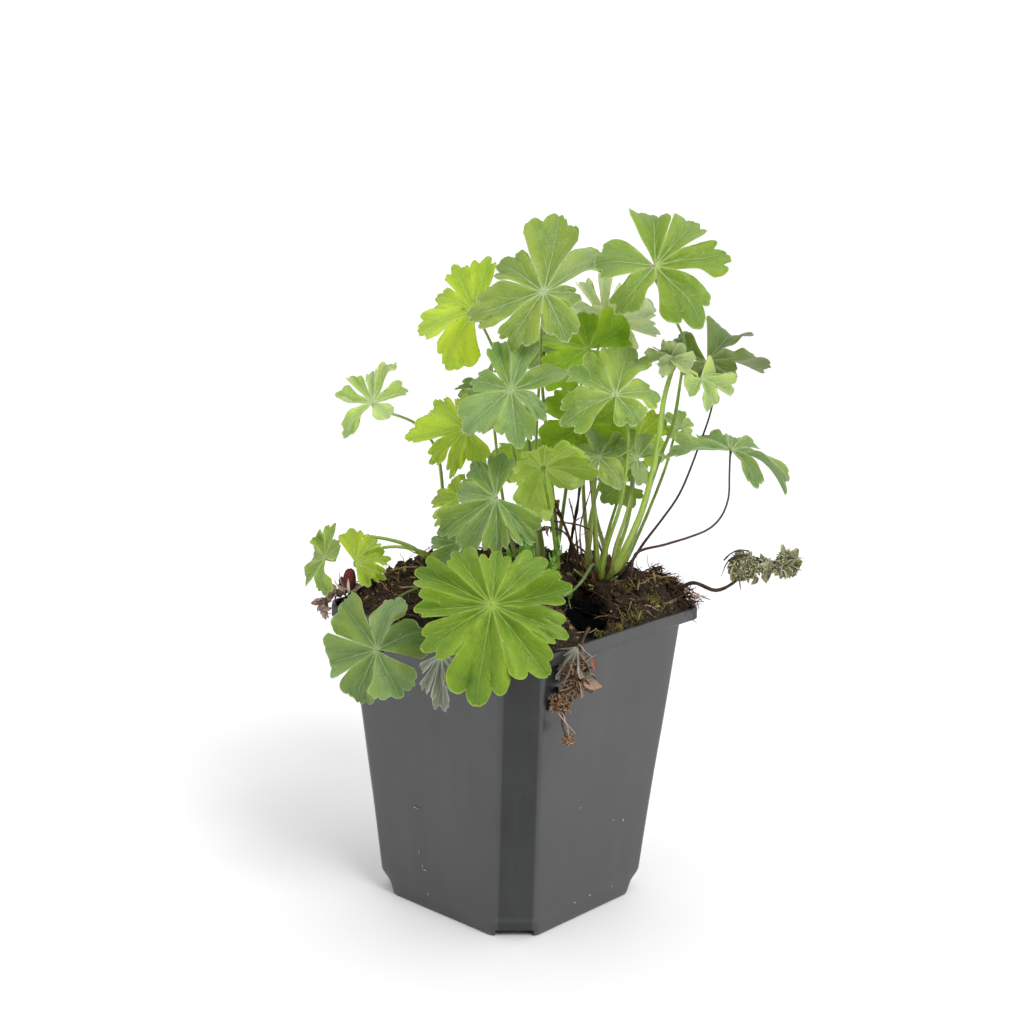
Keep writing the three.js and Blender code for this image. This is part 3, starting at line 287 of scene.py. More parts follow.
    Leaf("leaf_back_right", PALE, "leaf_green", (34, 40, 158), (150, 45), (0.12, 0.25, 0.87),
         [(10, 15, 15), (60, 17, 10), (110, 17, 10), (160, 16, 15), (220, 14, 20), (310, 13, 20)],
         ("main", 205, 20), [(25, 24, 124), (31, 37, 143)]),
    Leaf("leaf_back_left", GREY, "leaf_green", (-10, 26, 166), (195, 45), (0.12, 0.25, 0.87),
         [(20, 14, 15), (70, 15, 10), (120, 16, 10), (170, 14, 15), (230, 13, 20), (320, 12, 20)],
         ("middle", 240, 30), [(-4, 14, 128)]),
    Leaf("leaf_back_low", BRIGHT, "leaf_green", (4, 44, 138), (175, 35), (0.1, 0.5, 0.93),
         [(15, 16, 10), (60, 17, 10), (105, 17, 10), (150, 16, 10), (200, 15, 15), (330, 14, 15)],
         ("middle", 180, 10), [(7, 20, 116), (5, 34, 126)]),
]


# ---------------------------------------------------------------- small helpers

def colour(code, *by):
    """A hex colour as linear red, green, blue and alpha, the first three multiplied if asked."""
    parts = [int(code[i:i + 2], 16) / 255 for i in (1, 3, 5)]
    parts = [c / 12.92 if c <= 0.04045 else ((c + 0.055) / 1.055) ** 2.4 for c in parts]
    return (*(min(1.0, c * share) for c, share in zip(parts, by or (1, 1, 1))), 1.0)


def turned(x, y, turn):
    """x and y turned anticlockwise."""
    cos, sin = math.cos(turn), math.sin(turn)
    return x * cos - y * sin, x * sin + y * cos


def direction(azimuth, elevation):
    a, e = math.radians(azimuth), math.radians(elevation)
    return np.array([math.sin(a) * math.cos(e), -math.cos(a) * math.cos(e), math.sin(e)])


def outwards(turn, rise=0.0):
    return np.array([math.cos(turn), math.sin(turn), rise])


def unit(v):
    return v / np.maximum(np.linalg.norm(v, axis=-1, keepdims=True), 1e-9)


def smooth(x):
    x = np.clip(x, 0.0, 1.0)
    return x * x * (3 - 2 * x)


def noise(points, size, seed=0.0):
    """Smooth repeatable noise between about -1 and 1, its waves about size long."""
    x, y, z = (np.asarray(points, float) / size + seed).T * 2.2
    a = np.sin(x + 1.7 * np.sin(0.9 * y + 0.4) + 1.1 * np.sin(1.3 * z + seed))
    b = np.sin(1.1 * y + 1.5 * np.sin(0.8 * z + 1.1) + 1.2 * np.sin(1.2 * x + 2 * seed))
    c = np.sin(0.9 * z + 1.6 * np.sin(1.1 * x + 0.7) + 1.3 * np.sin(1.4 * y + 3 * seed))
    return (a + b + c) / 2.4


def cad_noise(x, y):
    """The waves of the CAD model's peat."""
    return (np.sin(x * 1.7 + 2.1 * np.sin(y * 0.9)) + np.sin(y * 2.3 + 1.7 * np.sin(x * 1.3))) / 2


def egg_reach(size, ray):
    """How far a ray runs from the middle of an ellipsoid to its surface."""
    return 1 / np.linalg.norm(ray / np.array(size))


def random_turn():
    turn = np.linalg.qr(RANDOM.normal(0, 1, (3, 3)))[0]
    return turn * np.linalg.det(turn)


def random_ray(lift=0.0):
    return unit(RANDOM.normal(0, 1, 3) + (0, 0, lift))


class Shape:
    """Gathers vertices, faces and what the materials read, and makes one mesh object of them."""

    def __init__(self):
        self.points, self.faces, self.slots, self.place, self.trait = [], [], [], [], []
        self.count = 0

    def add(self, points, faces, slot=0, place=(0, 0, 0), trait=(0, 0, 0)):
        points = np.asarray(points, float).reshape(-1, 3)
        self.points.append(points)
        self.faces += [tuple(i + self.count for i in face) for face in faces]
        self.slots += [slot] * len(faces)
        self.place.append(np.broadcast_to(place, points.shape))
        self.trait.append(np.broadcast_to(trait, points.shape))
        self.count += len(points)

    def build(self, name, materials, plant=True, sharp=None):
        """A smooth mesh object, from the plant's frame or the pot's, sharp from an angle on."""
        x, y, z = np.vstack(self.points).T
        if plant:
            x, y = turned(x, y, PLANT_TURN)
        mesh = bpy.data.meshes.new(name)
        mesh.from_pydata((np.column_stack([x, y, z]) * MM).tolist(), [], self.faces)
        for label, rows in (("place", self.place), ("trait", self.trait)):
            attribute = mesh.attributes.new(label, "FLOAT_VECTOR", "POINT")
            attribute.data.foreach_set("vector", np.vstack(rows).astype(np.float32).ravel())
        for material in materials:
            mesh.materials.append(material)
        mesh.polygons.foreach_set("material_index", self.slots)
        mesh.polygons.foreach_set("use_smooth", [True] * len(mesh.polygons))
        if sharp:
            mesh.set_sharp_from_angle(angle=math.radians(sharp))
        mesh.update()
        piece = bpy.data.objects.new(name, mesh)
        bpy.context.scene.collection.objects.link(piece)
        return piece


def fix(piece, slot, *nodes):
    """Fixes a piece to the part's one body, in place of the nodes named."""
    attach(piece, "root")
    if nodes:
        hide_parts(*nodes)


def grid_faces(rows, columns, closed=False):
    """Quads of a grid of points, row by row, closed round the columns if asked."""
    faces = []
    for i in range(rows - 1):
        for j in range(columns if closed else columns - 1):
            k = (j + 1) % columns
            faces.append((i * columns + j, i * columns + k, (i + 1) * columns + k,
                          (i + 1) * columns + j))
    return faces


def tube_faces(rows, columns):
    """Faces of rings of points that are joined to a closed tube, with both its ends."""
    last = (rows - 1) * columns
    return [*grid_faces(rows, columns, closed=True), tuple(range(columns))[::-1],
            tuple(range(last, last + columns))]


# ---------------------------------------------------------------- stalks and hairs

def spine(points, step):
    """A centripetal Catmull-Rom curve through points, as points about step apart."""
    points = [np.asarray(p, float) for p in points]
    ends = [2 * points[0] - points[1], *points, 2 * points[-1] - points[-2]]
    out = []
    for p0, p1, p2, p3 in zip(ends, ends[1:], ends[2:], ends[3:]):
        d0, d1, d2 = (max(np.linalg.norm(b - a), 1e-3) ** 0.5
                      for a, b in ((p0, p1), (p1, p2), (p2, p3)))
        t1 = ((p1 - p0) / d0 - (p2 - p0) / (d0 + d1) + (p2 - p1) / d1) * d1
        t2 = ((p2 - p1) / d1 - (p3 - p1) / (d1 + d2) + (p3 - p2) / d2) * d1
        parts = max(2, math.ceil(np.linalg.norm(p2 - p1) / step))
        for s in np.arange(parts) / parts:
            out.append((2 * s**3 - 3 * s**2 + 1) * p1 + (s**3 - 2 * s**2 + s) * t1
                       + (3 * s**2 - 2 * s**3) * p2 + (s**3 - s**2) * t2)
    return np.array([*out, points[-1]])


def add_tube(shape, centres, radii, sides, slot, tone=0.0):
    """A closed round tube. place.x runs from 0 to 1 along it, place.y from 1 to 0 to 1 round it."""
    ahead = unit(np.gradient(centres, axis=0))
    normal = np.array([1.0, 0.0, 0.0]) if abs(ahead[0][0]) < 0.9 else np.array([0.0, 1.0, 0.0])
    angles = 2 * math.pi * np.arange(sides) / sides
    rings = []
    for centre, forward, radius in zip(centres, ahead, radii):
        normal = unit(normal - forward * (normal @ forward))
        side = np.cross(forward, normal)
        rings.append(centre + radius * (np.outer(np.cos(angles), normal)
                                        + np.outer(np.sin(angles), side)))
    run = np.concatenate([[0], np.cumsum(np.linalg.norm(np.diff(centres, axis=0), axis=1))])
    place = np.zeros((len(rings) * sides, 3))
    place[:, 0] = np.repeat(run / run[-1], sides)
    place[:, 1] = np.tile(np.abs(2 * np.arange(sides) / sides - 1), len(rings))
    shape.add(rings, tube_faces(len(rings), sides), slot, place, (0, 0, tone))


def add_run(shape, points, radii, sides, slot=0, ripple=0.06):
    """A stalk through points, its thickness running from the first radius to the second."""
    line = spine(points, 1.8)
    radius = np.linspace(*radii, len(line)) * (1 + ripple * noise(line, 3.0))
    add_tube(shape, line, radius, sides, slot)
    return line


def add_fibre(shape, start, heading, length, radius, bend, slot, tone, sides=3, sag=0.0):
    """A thin root, straw or twig that wanders from its start and tapers to its end."""
    steps = max(4, round(length / 1.2))
    ray = unit(np.asarray(heading, float))
    points = [np.asarray(start, float)]
    for _ in range(steps):
        ray = unit(ray + RANDOM.normal(0, bend, 3) - (0, 0, sag))
        points.append(points[-1] + ray * length / steps)
    add_tube(shape, np.array(points), radius * np.linspace(1, 0.35, steps + 1), sides, slot, tone)


def add_hairs(shape, roots, normals, length, slot):
    """Fine pointed hairs, three-sided and closed, each sunk a little into its surface."""
    for root, normal in zip(roots, normals):
        ray = unit(normal + RANDOM.normal(0, 0.35, 3))
        side = unit(np.cross(ray, [0.3, 0.5, 0.8]))
        other = np.cross(ray, side)
        long = length * RANDOM.uniform(0.6, 1.2)
        base = [root - HAIR_SUNK * ray + HAIR_THICK * (math.cos(a) * side + math.sin(a) * other)
                for a in (0, 2.1, 4.2)]
        tip = root + long * ray + 0.25 * long * RANDOM.normal(0, 0.4) * side
        shape.add([*base, tip], [(0, 1, 3), (1, 2, 3), (2, 0, 3), (2, 1, 0)], slot,
                  (0.9, 0, 0), (0, 0, 0.5))


def seat_points(seat):
    """Where a stalk leaves what it grows from: just inside the surface, and further out."""
    if not seat:
        return []
    centre, size = SEATS[seat[0]]
    ray = direction(*seat[1:])
    return [centre + ray * (egg_reach(size, ray) + out) for out in (-0.6, SEAT_RUN)]


# ---------------------------------------------------------------- thin sheets and lumps

def add_sheet(shape, middle, surface, thin, slot, place, upper, under, rib=0.0):
    """A thin closed sheet about a grid of middle points, with its rim joined all round."""
    rows, columns = middle.shape[:2]
    quads = grid_faces(rows, columns)
    first, second = shape.count, shape.count + rows * columns
    shape.add(middle + surface * thin[..., None], quads, slot, place, upper)
    shape.add(middle - surface * (thin + rib)[..., None], [quad[::-1] for quad in quads], slot,
              place, under)
    grid = np.arange(rows * columns).reshape(rows, columns)
    loop = np.concatenate([grid[:-1, 0], grid[-1, :-1], grid[:0:-1, -1], grid[0, :0:-1]]).tolist()
    for a, b in zip(loop, loop[1:] + loop[:1]):
        shape.faces.append((first + a, second + a, second + b, first + b))
        shape.slots.append(slot)


def spread_grid(rows, columns):
    """u from 0 to 1 over the rows and v from -1 to 1 over the columns."""
    return (np.linspace(0, 1, rows)[:, None] * np.ones(columns),
            np.ones((rows, 1)) * np.linspace(-1, 1, columns))


def grid_normals(middle):
    return unit(np.cross(np.gradient(middle, axis=1), np.gradient(middle, axis=0)))


def add_scale(shape, base, ray, side, length, width, curl, cup, slot, tone, blunt=0.9,
              crumple=0.0, rows=7, columns=5):
    """A thin scale, scrap or petal that grows from base along ray and curls over by degrees."""
    ray, side = unit(np.asarray(ray, float)), np.asarray(side, float)
    side = unit(side - ray * (side @ ray))
    normal = np.cross(ray, side)
    u, v = spread_grid(rows, columns)
    half = 0.5 * width * np.sin(math.pi * (0.1 + 0.88 * u)) ** blunt
    turn = math.radians(curl if abs(curl) > 1 else 1.0)
    out = length * np.sin(turn * u) / turn
    down = length * (1 - np.cos(turn * u)) / turn - cup * half * v * v
    middle = (np.asarray(base, float) + ray * out[..., None] - normal * down[..., None]
              + side * (half * v)[..., None])
    if crumple:
        bumps = noise(middle.reshape(-1, 3), 1.7, tone * 9).reshape(u.shape)
        middle = middle + normal * (crumple * bumps)[..., None]
    place, trait = np.dstack([u, v, half]).reshape(-1, 3), (0, 0, tone)
    thin = np.full(u.shape, SCALE_HALF)
    add_sheet(shape, middle, grid_normals(middle), thin, slot, place, trait, trait)


def add_lump(shape, at, size, rough, wave, rows, columns, turn=None, trait=(0, 0, 0)):
    """A closed rounded body, roughened by waves about wave long."""
    polar = np.linspace(0, math.pi, rows + 2)[1:-1, None]
    around = 2 * math.pi * np.arange(columns) / columns
    ring = np.dstack([np.sin(polar) * np.cos(around), np.sin(polar) * np.sin(around),
                      np.cos(polar) * np.ones(columns)]).reshape(-1, 3)
    spots = np.vstack([[(0, 0, 1)], ring, [(0, 0, -1)]])
    swell = 1 + rough * noise(spots * np.mean(size) + np.asarray(at), wave)
    points = spots * swell[:, None] * np.asarray(size)
    if turn is not None:
        points = points @ turn
    last = len(points) - 1
    faces = [tuple(1 + i for i in face[::-1]) for face in grid_faces(rows, columns, closed=True)]
    faces += [(0, 1 + j, 1 + (j + 1) % columns) for j in range(columns)]
    faces += [(last, last - columns + (j + 1) % columns, last - columns + j)
              for j in range(columns)]
    shape.add(points + np.asarray(at), faces, trait=trait)


# ---------------------------------------------------------------- blades

# Rounded parts of a lobe's end, for each number of teeth: middle, half width, share of the
# lobe's length it reaches.
PARTS = {
    0: [(-0.5, 0.62, 0.97), (0.5, 0.62, 0.97), (0, 0.5, 1.0)],
    3: [(-0.66, 0.44, 0.9), (0, 0.46, 1.0), (0.66, 0.44, 0.9)],
    5: [(-0.86, 0.28, 0.88), (-0.47, 0.3, 0.96), (0, 0.32, 1.0), (0.47, 0.3, 0.96),
        (0.86, 0.28, 0.88)],
}
# Veins of a lobe's right half: place across it at the rim, and where it leaves the midrib.
VEINS = {
    0: [(0, 0), (0.45, 0.35)],
    3: [(0, 0), (0.66, 0.2), (0.22, 0.62), (0.5, 0.5)],
    5: [(0, 0), (0.86, 0.28), (0.47, 0.34), (0.2, 0.66)],
}


def lobes_of(leaf):
    """Each lobe with the angles from its midrib to its edges and to the seams beside it."""
    lobes = []
    for heading, length, droop, *rest in sorted(leaf.lobes, key=lambda lobe: lobe[0]):
        half, joined = *rest, *(WIDEST_HALF, leaf.cut)[len(rest):]
        lobes.append(dict(heading=heading, length=length * leaf.grow, droop=droop, half=half,
                          joined=joined))
    pairs = list(zip(lobes, lobes[1:] + lobes[:1]))
    for lobe, following in pairs:
        lobe["between"] = (following["heading"] - lobe["heading"]) % 360
    widest = max(lobes, key=lambda lobe: lobe["between"])
    for lobe, following in pairs:
        is_open = lobe is widest and lobe["between"] > OPEN_FROM
        room, seam = leaf.fill * lobe["between"] / 2, lobe["between"] / 2
        after, before = min(room, WIDER * lobe["half"]), min(room, WIDER * following["half"])
        notch = lobe["joined"] * (lobe["length"] if is_open else
                                  min(lobe["length"], following["length"]))
        lobe.update(after=after, seam_after=after if is_open else seam, notch_after=notch,
                    open_after=is_open)
        following.update(before=before, seam_before=before if is_open else seam,
                         notch_before=leaf.cut * following["length"] if is_open else notch,
                         open_before=is_open)
    return lobes


def rim_share(v, kind, length, leaf, random):
    """Share of a lobe's length that its rim reaches at v, -1 to 1 across the lobe."""
    out = np.full_like(v, 0.5)
    for middle, half, reach in PARTS[kind]:
        off = np.abs(v - middle - random.normal(0, 0.04)) / (half * random.uniform(0.95, 1.2))
        crown = reach * random.uniform(0.955, 1.02) * (1 - 0.27 * np.clip(off, 0, 1.5) ** 2.4)
        out = np.maximum(out, crown)
    teeth = max(2, round(length * random.uniform(0.09, 0.16)))
    wave = np.abs(np.sin(math.pi * (teeth * (v + 0.12 * np.sin(5 * v + 9 * random.random()))
                                    + random.random())))
    depth = leaf.jag * min(1.4, 0.065 * length) * random.uniform(0.5, 1.1)
    out = out - depth / length * (1 - wave) ** 2
    return out * (1 - leaf.rounding * np.abs(v) ** 3)


def blade_axes(face):
    """The normal of a blade's upper side, and its level and rising directions."""
    normal = direction(*face)
    across = outwards(math.radians(face[0]))
    return normal, across, np.cross(normal, across)


def lobe_point(leaf, axes, lobe, reach, turn, v):
    """Points of a lobe's middle surface, from distance to the hub, angle and place across."""
    normal, across, along = axes
    angle = np.radians(lobe["heading"] + turn)
    ray = np.cos(angle)[..., None] * across + np.sin(angle)[..., None] * along
    droop = lobe["droop"] * (DROOPIER if lobe["length"] > DROOPIER_FROM else 1)
    curl = math.radians(max(droop, 0.5)) / lobe["length"]
    fold = np.sqrt(v * v + 0.012) - 0.05
    lift = FOLDIER * leaf.fold * fold * reach
    out = np.sin(curl * reach) / curl + lift * np.sin(curl * reach)
    down = (1 - np.cos(curl * reach)) / curl - lift * np.cos(curl * reach)
    return leaf.hub + ray * out[..., None] - normal * down[..., None]


def lobe_middle(leaf, axes, lobes, i, reach, turn, v):
    """A lobe's middle surface, which meets the next lobes' along the seams."""
    lobe = lobes[i]
    middle = lobe_point(leaf, axes, lobe, reach, turn, v)
    for side, sign, other in (("after", 1, lobes[(i + 1) % len(lobes)]),
                              ("before", -1, lobes[i - 1])):
        if not lobe["open_" + side]:
            seam = lobe["seam_" + side]
            mirror = lobe_point(leaf, axes, other, reach, turn - sign * 2 * seam, -v)
            weight = 0.5 * smooth((sign * v - 0.2) / 0.8)
            weight = weight * (1 - smooth((reach / lobe["notch_" + side] - 1) / 0.9))
            middle = middle + (mirror - middle) * weight[..., None]
    return middle


def half_width(lobe, side, reach):
    """Angle from the midrib to the lobe's edge on one side at each distance from the hub."""
    seam, edge, notch = lobe["seam_" + side], lobe[side], lobe["notch_" + side]
    middle = (notch + 0.72 * lobe["length"]) / 2
    return seam + (edge - seam) * smooth((reach - notch) / max(middle - notch, 0.1))


def vein_gap(u, v, half, kind):
    """Distance in mm from a point of a lobe to its nearest vein."""
    gap = np.full_like(u, 99.0)
    for place, start in VEINS[kind]:
        run = np.clip((u - start) / (1 - start), 0, 1)
        near = np.abs(np.abs(v) - place * run**VEIN_BEND) * half
        gap = np.where(u >= start, np.minimum(gap, near), gap)
    return gap


def add_blade(shape, leaf, seed, slot):
    """One blade: the upper and under side of each lobe, joined round the rim."""
    axes = blade_axes(leaf.face)
    normal = axes[0]
    lobes = lobes_of(leaf)
    random = np.random.default_rng(seed)
    for i, lobe in enumerate(lobes):
        length = lobe["length"]
        small = length < SMALL_LOBE
        kind = 0 if small else leaf.look.teeth
        width = length * math.radians(lobe["after"] + lobe["before"])
        # Rows about 1 mm apart and columns about 0.5 mm, within limits.
        rows = 13 if small else max(15, min(23, round(length)))
        columns = 13 if small else max(17, min(35, 2 * round(width / 0.95) + 1))
        u, v = spread_grid(rows + 1, columns)
        reach = np.maximum(u * rim_share(v[:1], kind, length, leaf, random) * length, 0.02)
        angle = np.where(v < 0, half_width(lobe, "before", reach), half_width(lobe, "after", reach))
        middle = lobe_middle(leaf, axes, lobes, i, reach, v * angle, v)

        across = np.radians(angle) * reach
        gap = vein_gap(u, v, across, kind)
        flat = middle.reshape(-1, 3)
        free = smooth((reach / max(lobe["notch_after"], lobe["notch_before"]) - 1) / 1.2)
        quilt = QUILT * (1 - np.exp(-(gap / 1.6) ** 2)) * smooth(reach / 6)
        sway = noise(flat, 17.0, seed * 0.61).reshape(u.shape) * smooth(reach / 22) * SWAY
        ruffle = noise(flat, 7.5, seed * 0.37).reshape(u.shape) * (0.2 + 0.8 * np.abs(v) ** 1.5)
        ruffle = ruffle * smooth(reach / 15) * (SMALL_RUFFLE if small else RUFFLE)
        tip = random.normal(-0.4, 1.0) * (SMALL_TIP_TURN if small else TIP_TURN)
        tip = tip * smooth((u - 0.6) / 0.4) ** 2
        twist = math.tan(math.radians(random.uniform(-TWIST, TWIST))) * v * across * free
        fine = noise(flat, 1.6 + 1.5 * (leaf.crumple > 0), seed).reshape(u.shape)
        fine = (0.07 + leaf.crumple) * fine * smooth(reach / 2)
        middle = middle + normal * (quilt + sway + ruffle + tip + twist + fine)[..., None]

        surface = grid_normals(middle)
        if np.sum(surface[2] @ normal) < 0:
            surface = -surface
        surface[0] = normal
        edge = np.minimum((1 - u) * length, (1 - np.abs(v)) * across)
        thin = BLADE_HALF * (0.35 + 0.65 * smooth(edge / 0.8))
        rib = RIB * np.exp(-(gap / 0.35) ** 2) * (1 - 0.6 * u)
        rim, tone = np.exp(-edge / 0.5), np.full(u.shape, random.random())
        upper, under = (np.dstack([np.full(u.shape, side), rim, tone]).reshape(-1, 3)
                        for side in (1.0, 0.0))
        add_sheet(shape, middle, surface, thin, slot, np.dstack([u, v, across]).reshape(-1, 3),
                  upper, under, rib)
        if not small:
            spots = [(rows, c) for c in range(1, columns - 1, 2)]
            spots += [(r, c) for r in range(rows // 2, rows, 3) for c in (0, columns - 1)]
            roots = [middle[spot] for spot in spots]
            add_hairs(shape, roots, [unit(root - leaf.hub) for root in roots], 0.45, slot)


def add_stalk(shape, leaf, slot):
    """A leaf's stalk from its seat to under its blade, wider at both ends, with short hairs."""
    normal = direction(*leaf.face)
    points = [*seat_points(leaf.seat), *leaf.stalk, leaf.hub - UNDER_RUN * normal,
              leaf.hub - 0.1 * normal]
    centres = spine(points, 2.4)
    run = np.linspace(0, 1, len(centres))
    radii = leaf.look.girth * (STALK_FOOT + (STALK_NECK - STALK_FOOT) * run**0.7)
    radii = radii * (1 + 0.75 * np.exp(-run / 0.09)) + 0.28 * np.exp(-(1 - run) / 0.03)
    radii = radii * (1 + 0.05 * noise(centres, 7.0))
    add_tube(shape, centres, radii, 9, slot)
    picks = RANDOM.integers(2, len(centres) - 2, max(20, len(centres) * 3))
    ahead = unit(np.gradient(centres, axis=0))[picks]
    rays = unit(np.cross(ahead, RANDOM.normal(0, 1, (len(picks), 3))))
    roots = centres[picks] + rays * radii[picks, None]
    roots = roots + ahead * RANDOM.uniform(-1.2, 1.2, (len(picks), 1))
    add_hairs(shape, roots, rays, 0.55, slot)


def make_leaf(leaf, seed):
    shape = Shape()
    add_blade(shape, leaf, seed, 0)
    add_stalk(shape, leaf, 1)
    materials = [leaf_material(leaf.name, leaf.look),
                 stalk_material(leaf.look.stalk, leaf.look.base)]
    fix(shape.build(leaf.name + "_full", materials), leaf.slot, leaf.name)


# ---------------------------------------------------------------- material nodes

class Tree:
    """A node tree of a material or the world, with short ways to add what is needed here."""

    def __init__(self, owner, output="ShaderNodeOutputMaterial"):
        owner.use_nodes = True
        self.owner, self.tree = owner, owner.node_tree
        self.tree.nodes.clear()
        self.output = self.tree.nodes.new(output)

    def add(self, kind, inputs=(), **settings):
        node = self.tree.nodes.new(kind)
        for key, value in settings.items():
            setattr(node, key, value)
        for key, value in dict(inputs).items():
            self.put(node.inputs[key], value)
        return node

    def put(self, socket, value):
        if isinstance(value, bpy.types.NodeSocket):
            self.tree.links.new(value, socket)
        else:
            socket.default_value = value

    def math(self, operation, a, b=0.0, clamp=False):
        return self.add("ShaderNodeMath", {0: a, 1: b}, operation=operation,
                        use_clamp=clamp).outputs[0]

    def times(self, a, b):
        return self.math("MULTIPLY", a, b)

    def ramp(self, value, low, high, to_low=0.0, to_high=1.0, kind="SMOOTHSTEP"):
        return self.add("ShaderNodeMapRange", {0: value, 1: low, 2: high, 3: to_low, 4: to_high},
                        interpolation_type=kind).outputs[0]

    def mix(self, factor, a, b):
        return self.add("ShaderNodeMix", {0: factor, 6: a, 7: b}, data_type="RGBA").outputs[2]

    def layers(self, body, *layers):
        """A colour under further ones: each has its colour, where it lies and how strong it is."""
        for tint, mask, share in layers:
            body = self.mix(self.times(mask, share), body, tint)
        return body

    def split(self, vector):
        return self.add("ShaderNodeSeparateXYZ", {0: vector}).outputs[:3]

    def vector(self, name):
        """The three parts of what Shape keeps at each vertex under this name."""
        return self.split(self.add("ShaderNodeAttribute", attribute_name=name,
                                   attribute_type="GEOMETRY").outputs["Vector"])

    def coordinates(self, z=1000):
        """Object coordinates in mm, or with another scale along z."""
        spot = self.add("ShaderNodeTexCoord").outputs["Object"]
        return self.add("ShaderNodeMapping", {0: spot, 3: (1000, 1000, z)}).outputs[0]

    def noise(self, size, detail=3.0, z=1000, rough=0.55):
        return self.add("ShaderNodeTexNoise", {"Vector": self.coordinates(z), "Scale": 1 / size,
                                               "Detail": detail, "Roughness": rough}).outputs[0]

    def cells(self, size, feature="F1"):
        return self.add("ShaderNodeTexVoronoi", {"Vector": self.coordinates(), "Scale": 1 / size},
                        feature=feature).outputs["Distance"]

    def bump(self, height, strength, depth_mm):
        return self.add("ShaderNodeBump", {"Height": height, "Strength": strength,
                                           "Distance": depth_mm * MM}).outputs[0]

    def skin(self, body, rough, more):
        return self.add("ShaderNodeBsdfPrincipled", {"Base Color": body, "Roughness": rough,
                                                     **more}).outputs[0]

    def finish(self, shader):
        self.put(self.output.inputs[0], shader)
        return self.owner


def new_tree(name):
    return Tree(bpy.data.materials.new(name))


def leaf_material(name, key):
    """Upper and under side, pale veins with painted shade in the creases beside them and painted
    light on the ridges between, painted glints, a fine net, mottling and a dry rim.
    """
    t = new_tree(name)
    u, v, half = t.vector("place")
    side, rim, tone = t.vector("trait")
    across = t.math("ABSOLUTE", v)
    veins, pleat_shade = 0.0, 0.0
    for number, (place, start) in enumerate(VEINS[key.teeth]):
        strength, hub_width, shade_width = (0.5, 0.2, 1.0) if number else (1.0, 0.36, 2.2)
        run = t.math("POWER", t.ramp(u, start, 1.0, kind="LINEAR"), VEIN_BEND)
        gap = t.times(t.math("ABSOLUTE", t.math("SUBTRACT", across, t.times(run, place))), half)
        width = t.ramp(u, 0.0, 1.0, hub_width, 0.09, "LINEAR")
        begun = t.math("GREATER_THAN", u, start)
        vein = t.times(t.ramp(t.math("DIVIDE", gap, width), 0.35, 1.0, 1.0, 0.0), begun)
        veins = t.math("MAXIMUM", veins, t.times(vein, strength))
        # Painted shade: a darker band along each vein, where the crease beside it lies in shade.
        crease_shade = t.times(t.ramp(gap, 0.2, shade_width, 1.0, 0.0), begun)
        pleat_shade = t.math("MAXIMUM", pleat_shade, t.times(crease_shade, strength))
    net = t.ramp(t.cells(1.5, "DISTANCE_TO_EDGE"), 0.0, 0.12, 1.0, 0.0)
    broad, fine = t.noise(7.0, 2.0), t.noise(1.1, 4.0)
    # Painted glints: thin pale squiggles, in patches, where light catches the hairs.
    streak = t.ramp(t.math("ABSOLUTE", t.math("SUBTRACT", t.noise(3.6, 3.0), 0.5)),
                    0.004, 0.014, 1.0, 0.0)
    streak = t.times(streak, t.ramp(broad, 0.52, 0.6))
    speck = t.times(t.ramp(t.cells(2.1), 0.1, 0.05), t.ramp(broad, 0.5, 0.56))
    withered = t.times(t.ramp(t.noise(4.0, 2.0), 0.6, 0.7), t.ramp(rim, 0.15, 0.8))

    base, under, vein = colour(key.colour), colour(key.under), colour(key.vein)
    dark, light = colour(key.colour, 0.56, 0.64, 0.72), colour(key.colour, 1.4, 1.3, 1.25)
    # The second colour here is a lit copy of the green, painted on the lobes' ridges as light; the
    # first tints random patches yellower.
    warm, ridge_light = colour(key.colour, 1.3, 1.06, 0.6), colour(key.colour, 1.45, 1.25, 0.8)
    top = t.layers(t.mix(t.ramp(broad, 0.3, 0.62), dark, base),
                   (warm, t.ramp(t.noise(11.0, 1.0), 0.42, 0.68), 0.85),
                   (under, t.ramp(tone, 0.4, 1.0), 0.65),
                   (dark, t.ramp(tone, 0.35, 0.0), 0.55),
                   (light, t.ramp(fine, 0.45, 0.8), 0.5),
                   (light, net, 0.22),
                   # painted light on the ridges, stronger towards the lobe's edges
                   (ridge_light, t.ramp(across, 0.3, 0.9), 0.5),
                   # painted shade in the creases beside the veins
                   (dark, pleat_shade, 0.6),
                   (vein, t.ramp(u, 0.0, 0.14, 0.5, 0.0), 1.0),
                   (vein, veins, 0.75))
    below = t.layers(under,
                     (base, t.ramp(broad, 0.3, 0.75), 0.3),
                     (dark, t.ramp(tone, 0.5, 0.0), 0.6),
                     # painted shade in the creases, on the underside too
                     (base, pleat_shade, 0.3),
                     (vein, veins, 0.85))
    body = t.layers(t.mix(side, below, top),
                    # painted glints on the hairs
                    (vein, streak, 0.3),
                    (vein, t.ramp(rim, 0.45, 0.85), 0.75),
                    (colour(key.edge), withered, 0.65),
                    (colour("#e9efd2"), speck, 0.5))
    relief = t.math("SUBTRACT", t.times(fine, 0.35), t.times(veins, 0.6))
    normal = t.bump(t.math("SUBTRACT", relief, t.times(net, 0.35)), 0.9, 0.28)
    rough = t.ramp(fine, 0.2, 0.8, key.rough - 0.07, key.rough + 0.1)
    skin = t.skin(body, rough, {"Specular IOR Level": 0.5, "Sheen Weight": 0.3,
                                "Sheen Roughness": 0.35, "Normal": normal})
    bright = t.mix(0.6, body, colour(key.through))
    glow = t.add("ShaderNodeBsdfTranslucent", {"Color": bright, "Normal": normal}).outputs[0]
    return t.finish(t.add("ShaderNodeMixShader", {0: min(0.6, 0.38 * key.glow), 1: skin,
                                                  2: glow}).outputs[0])


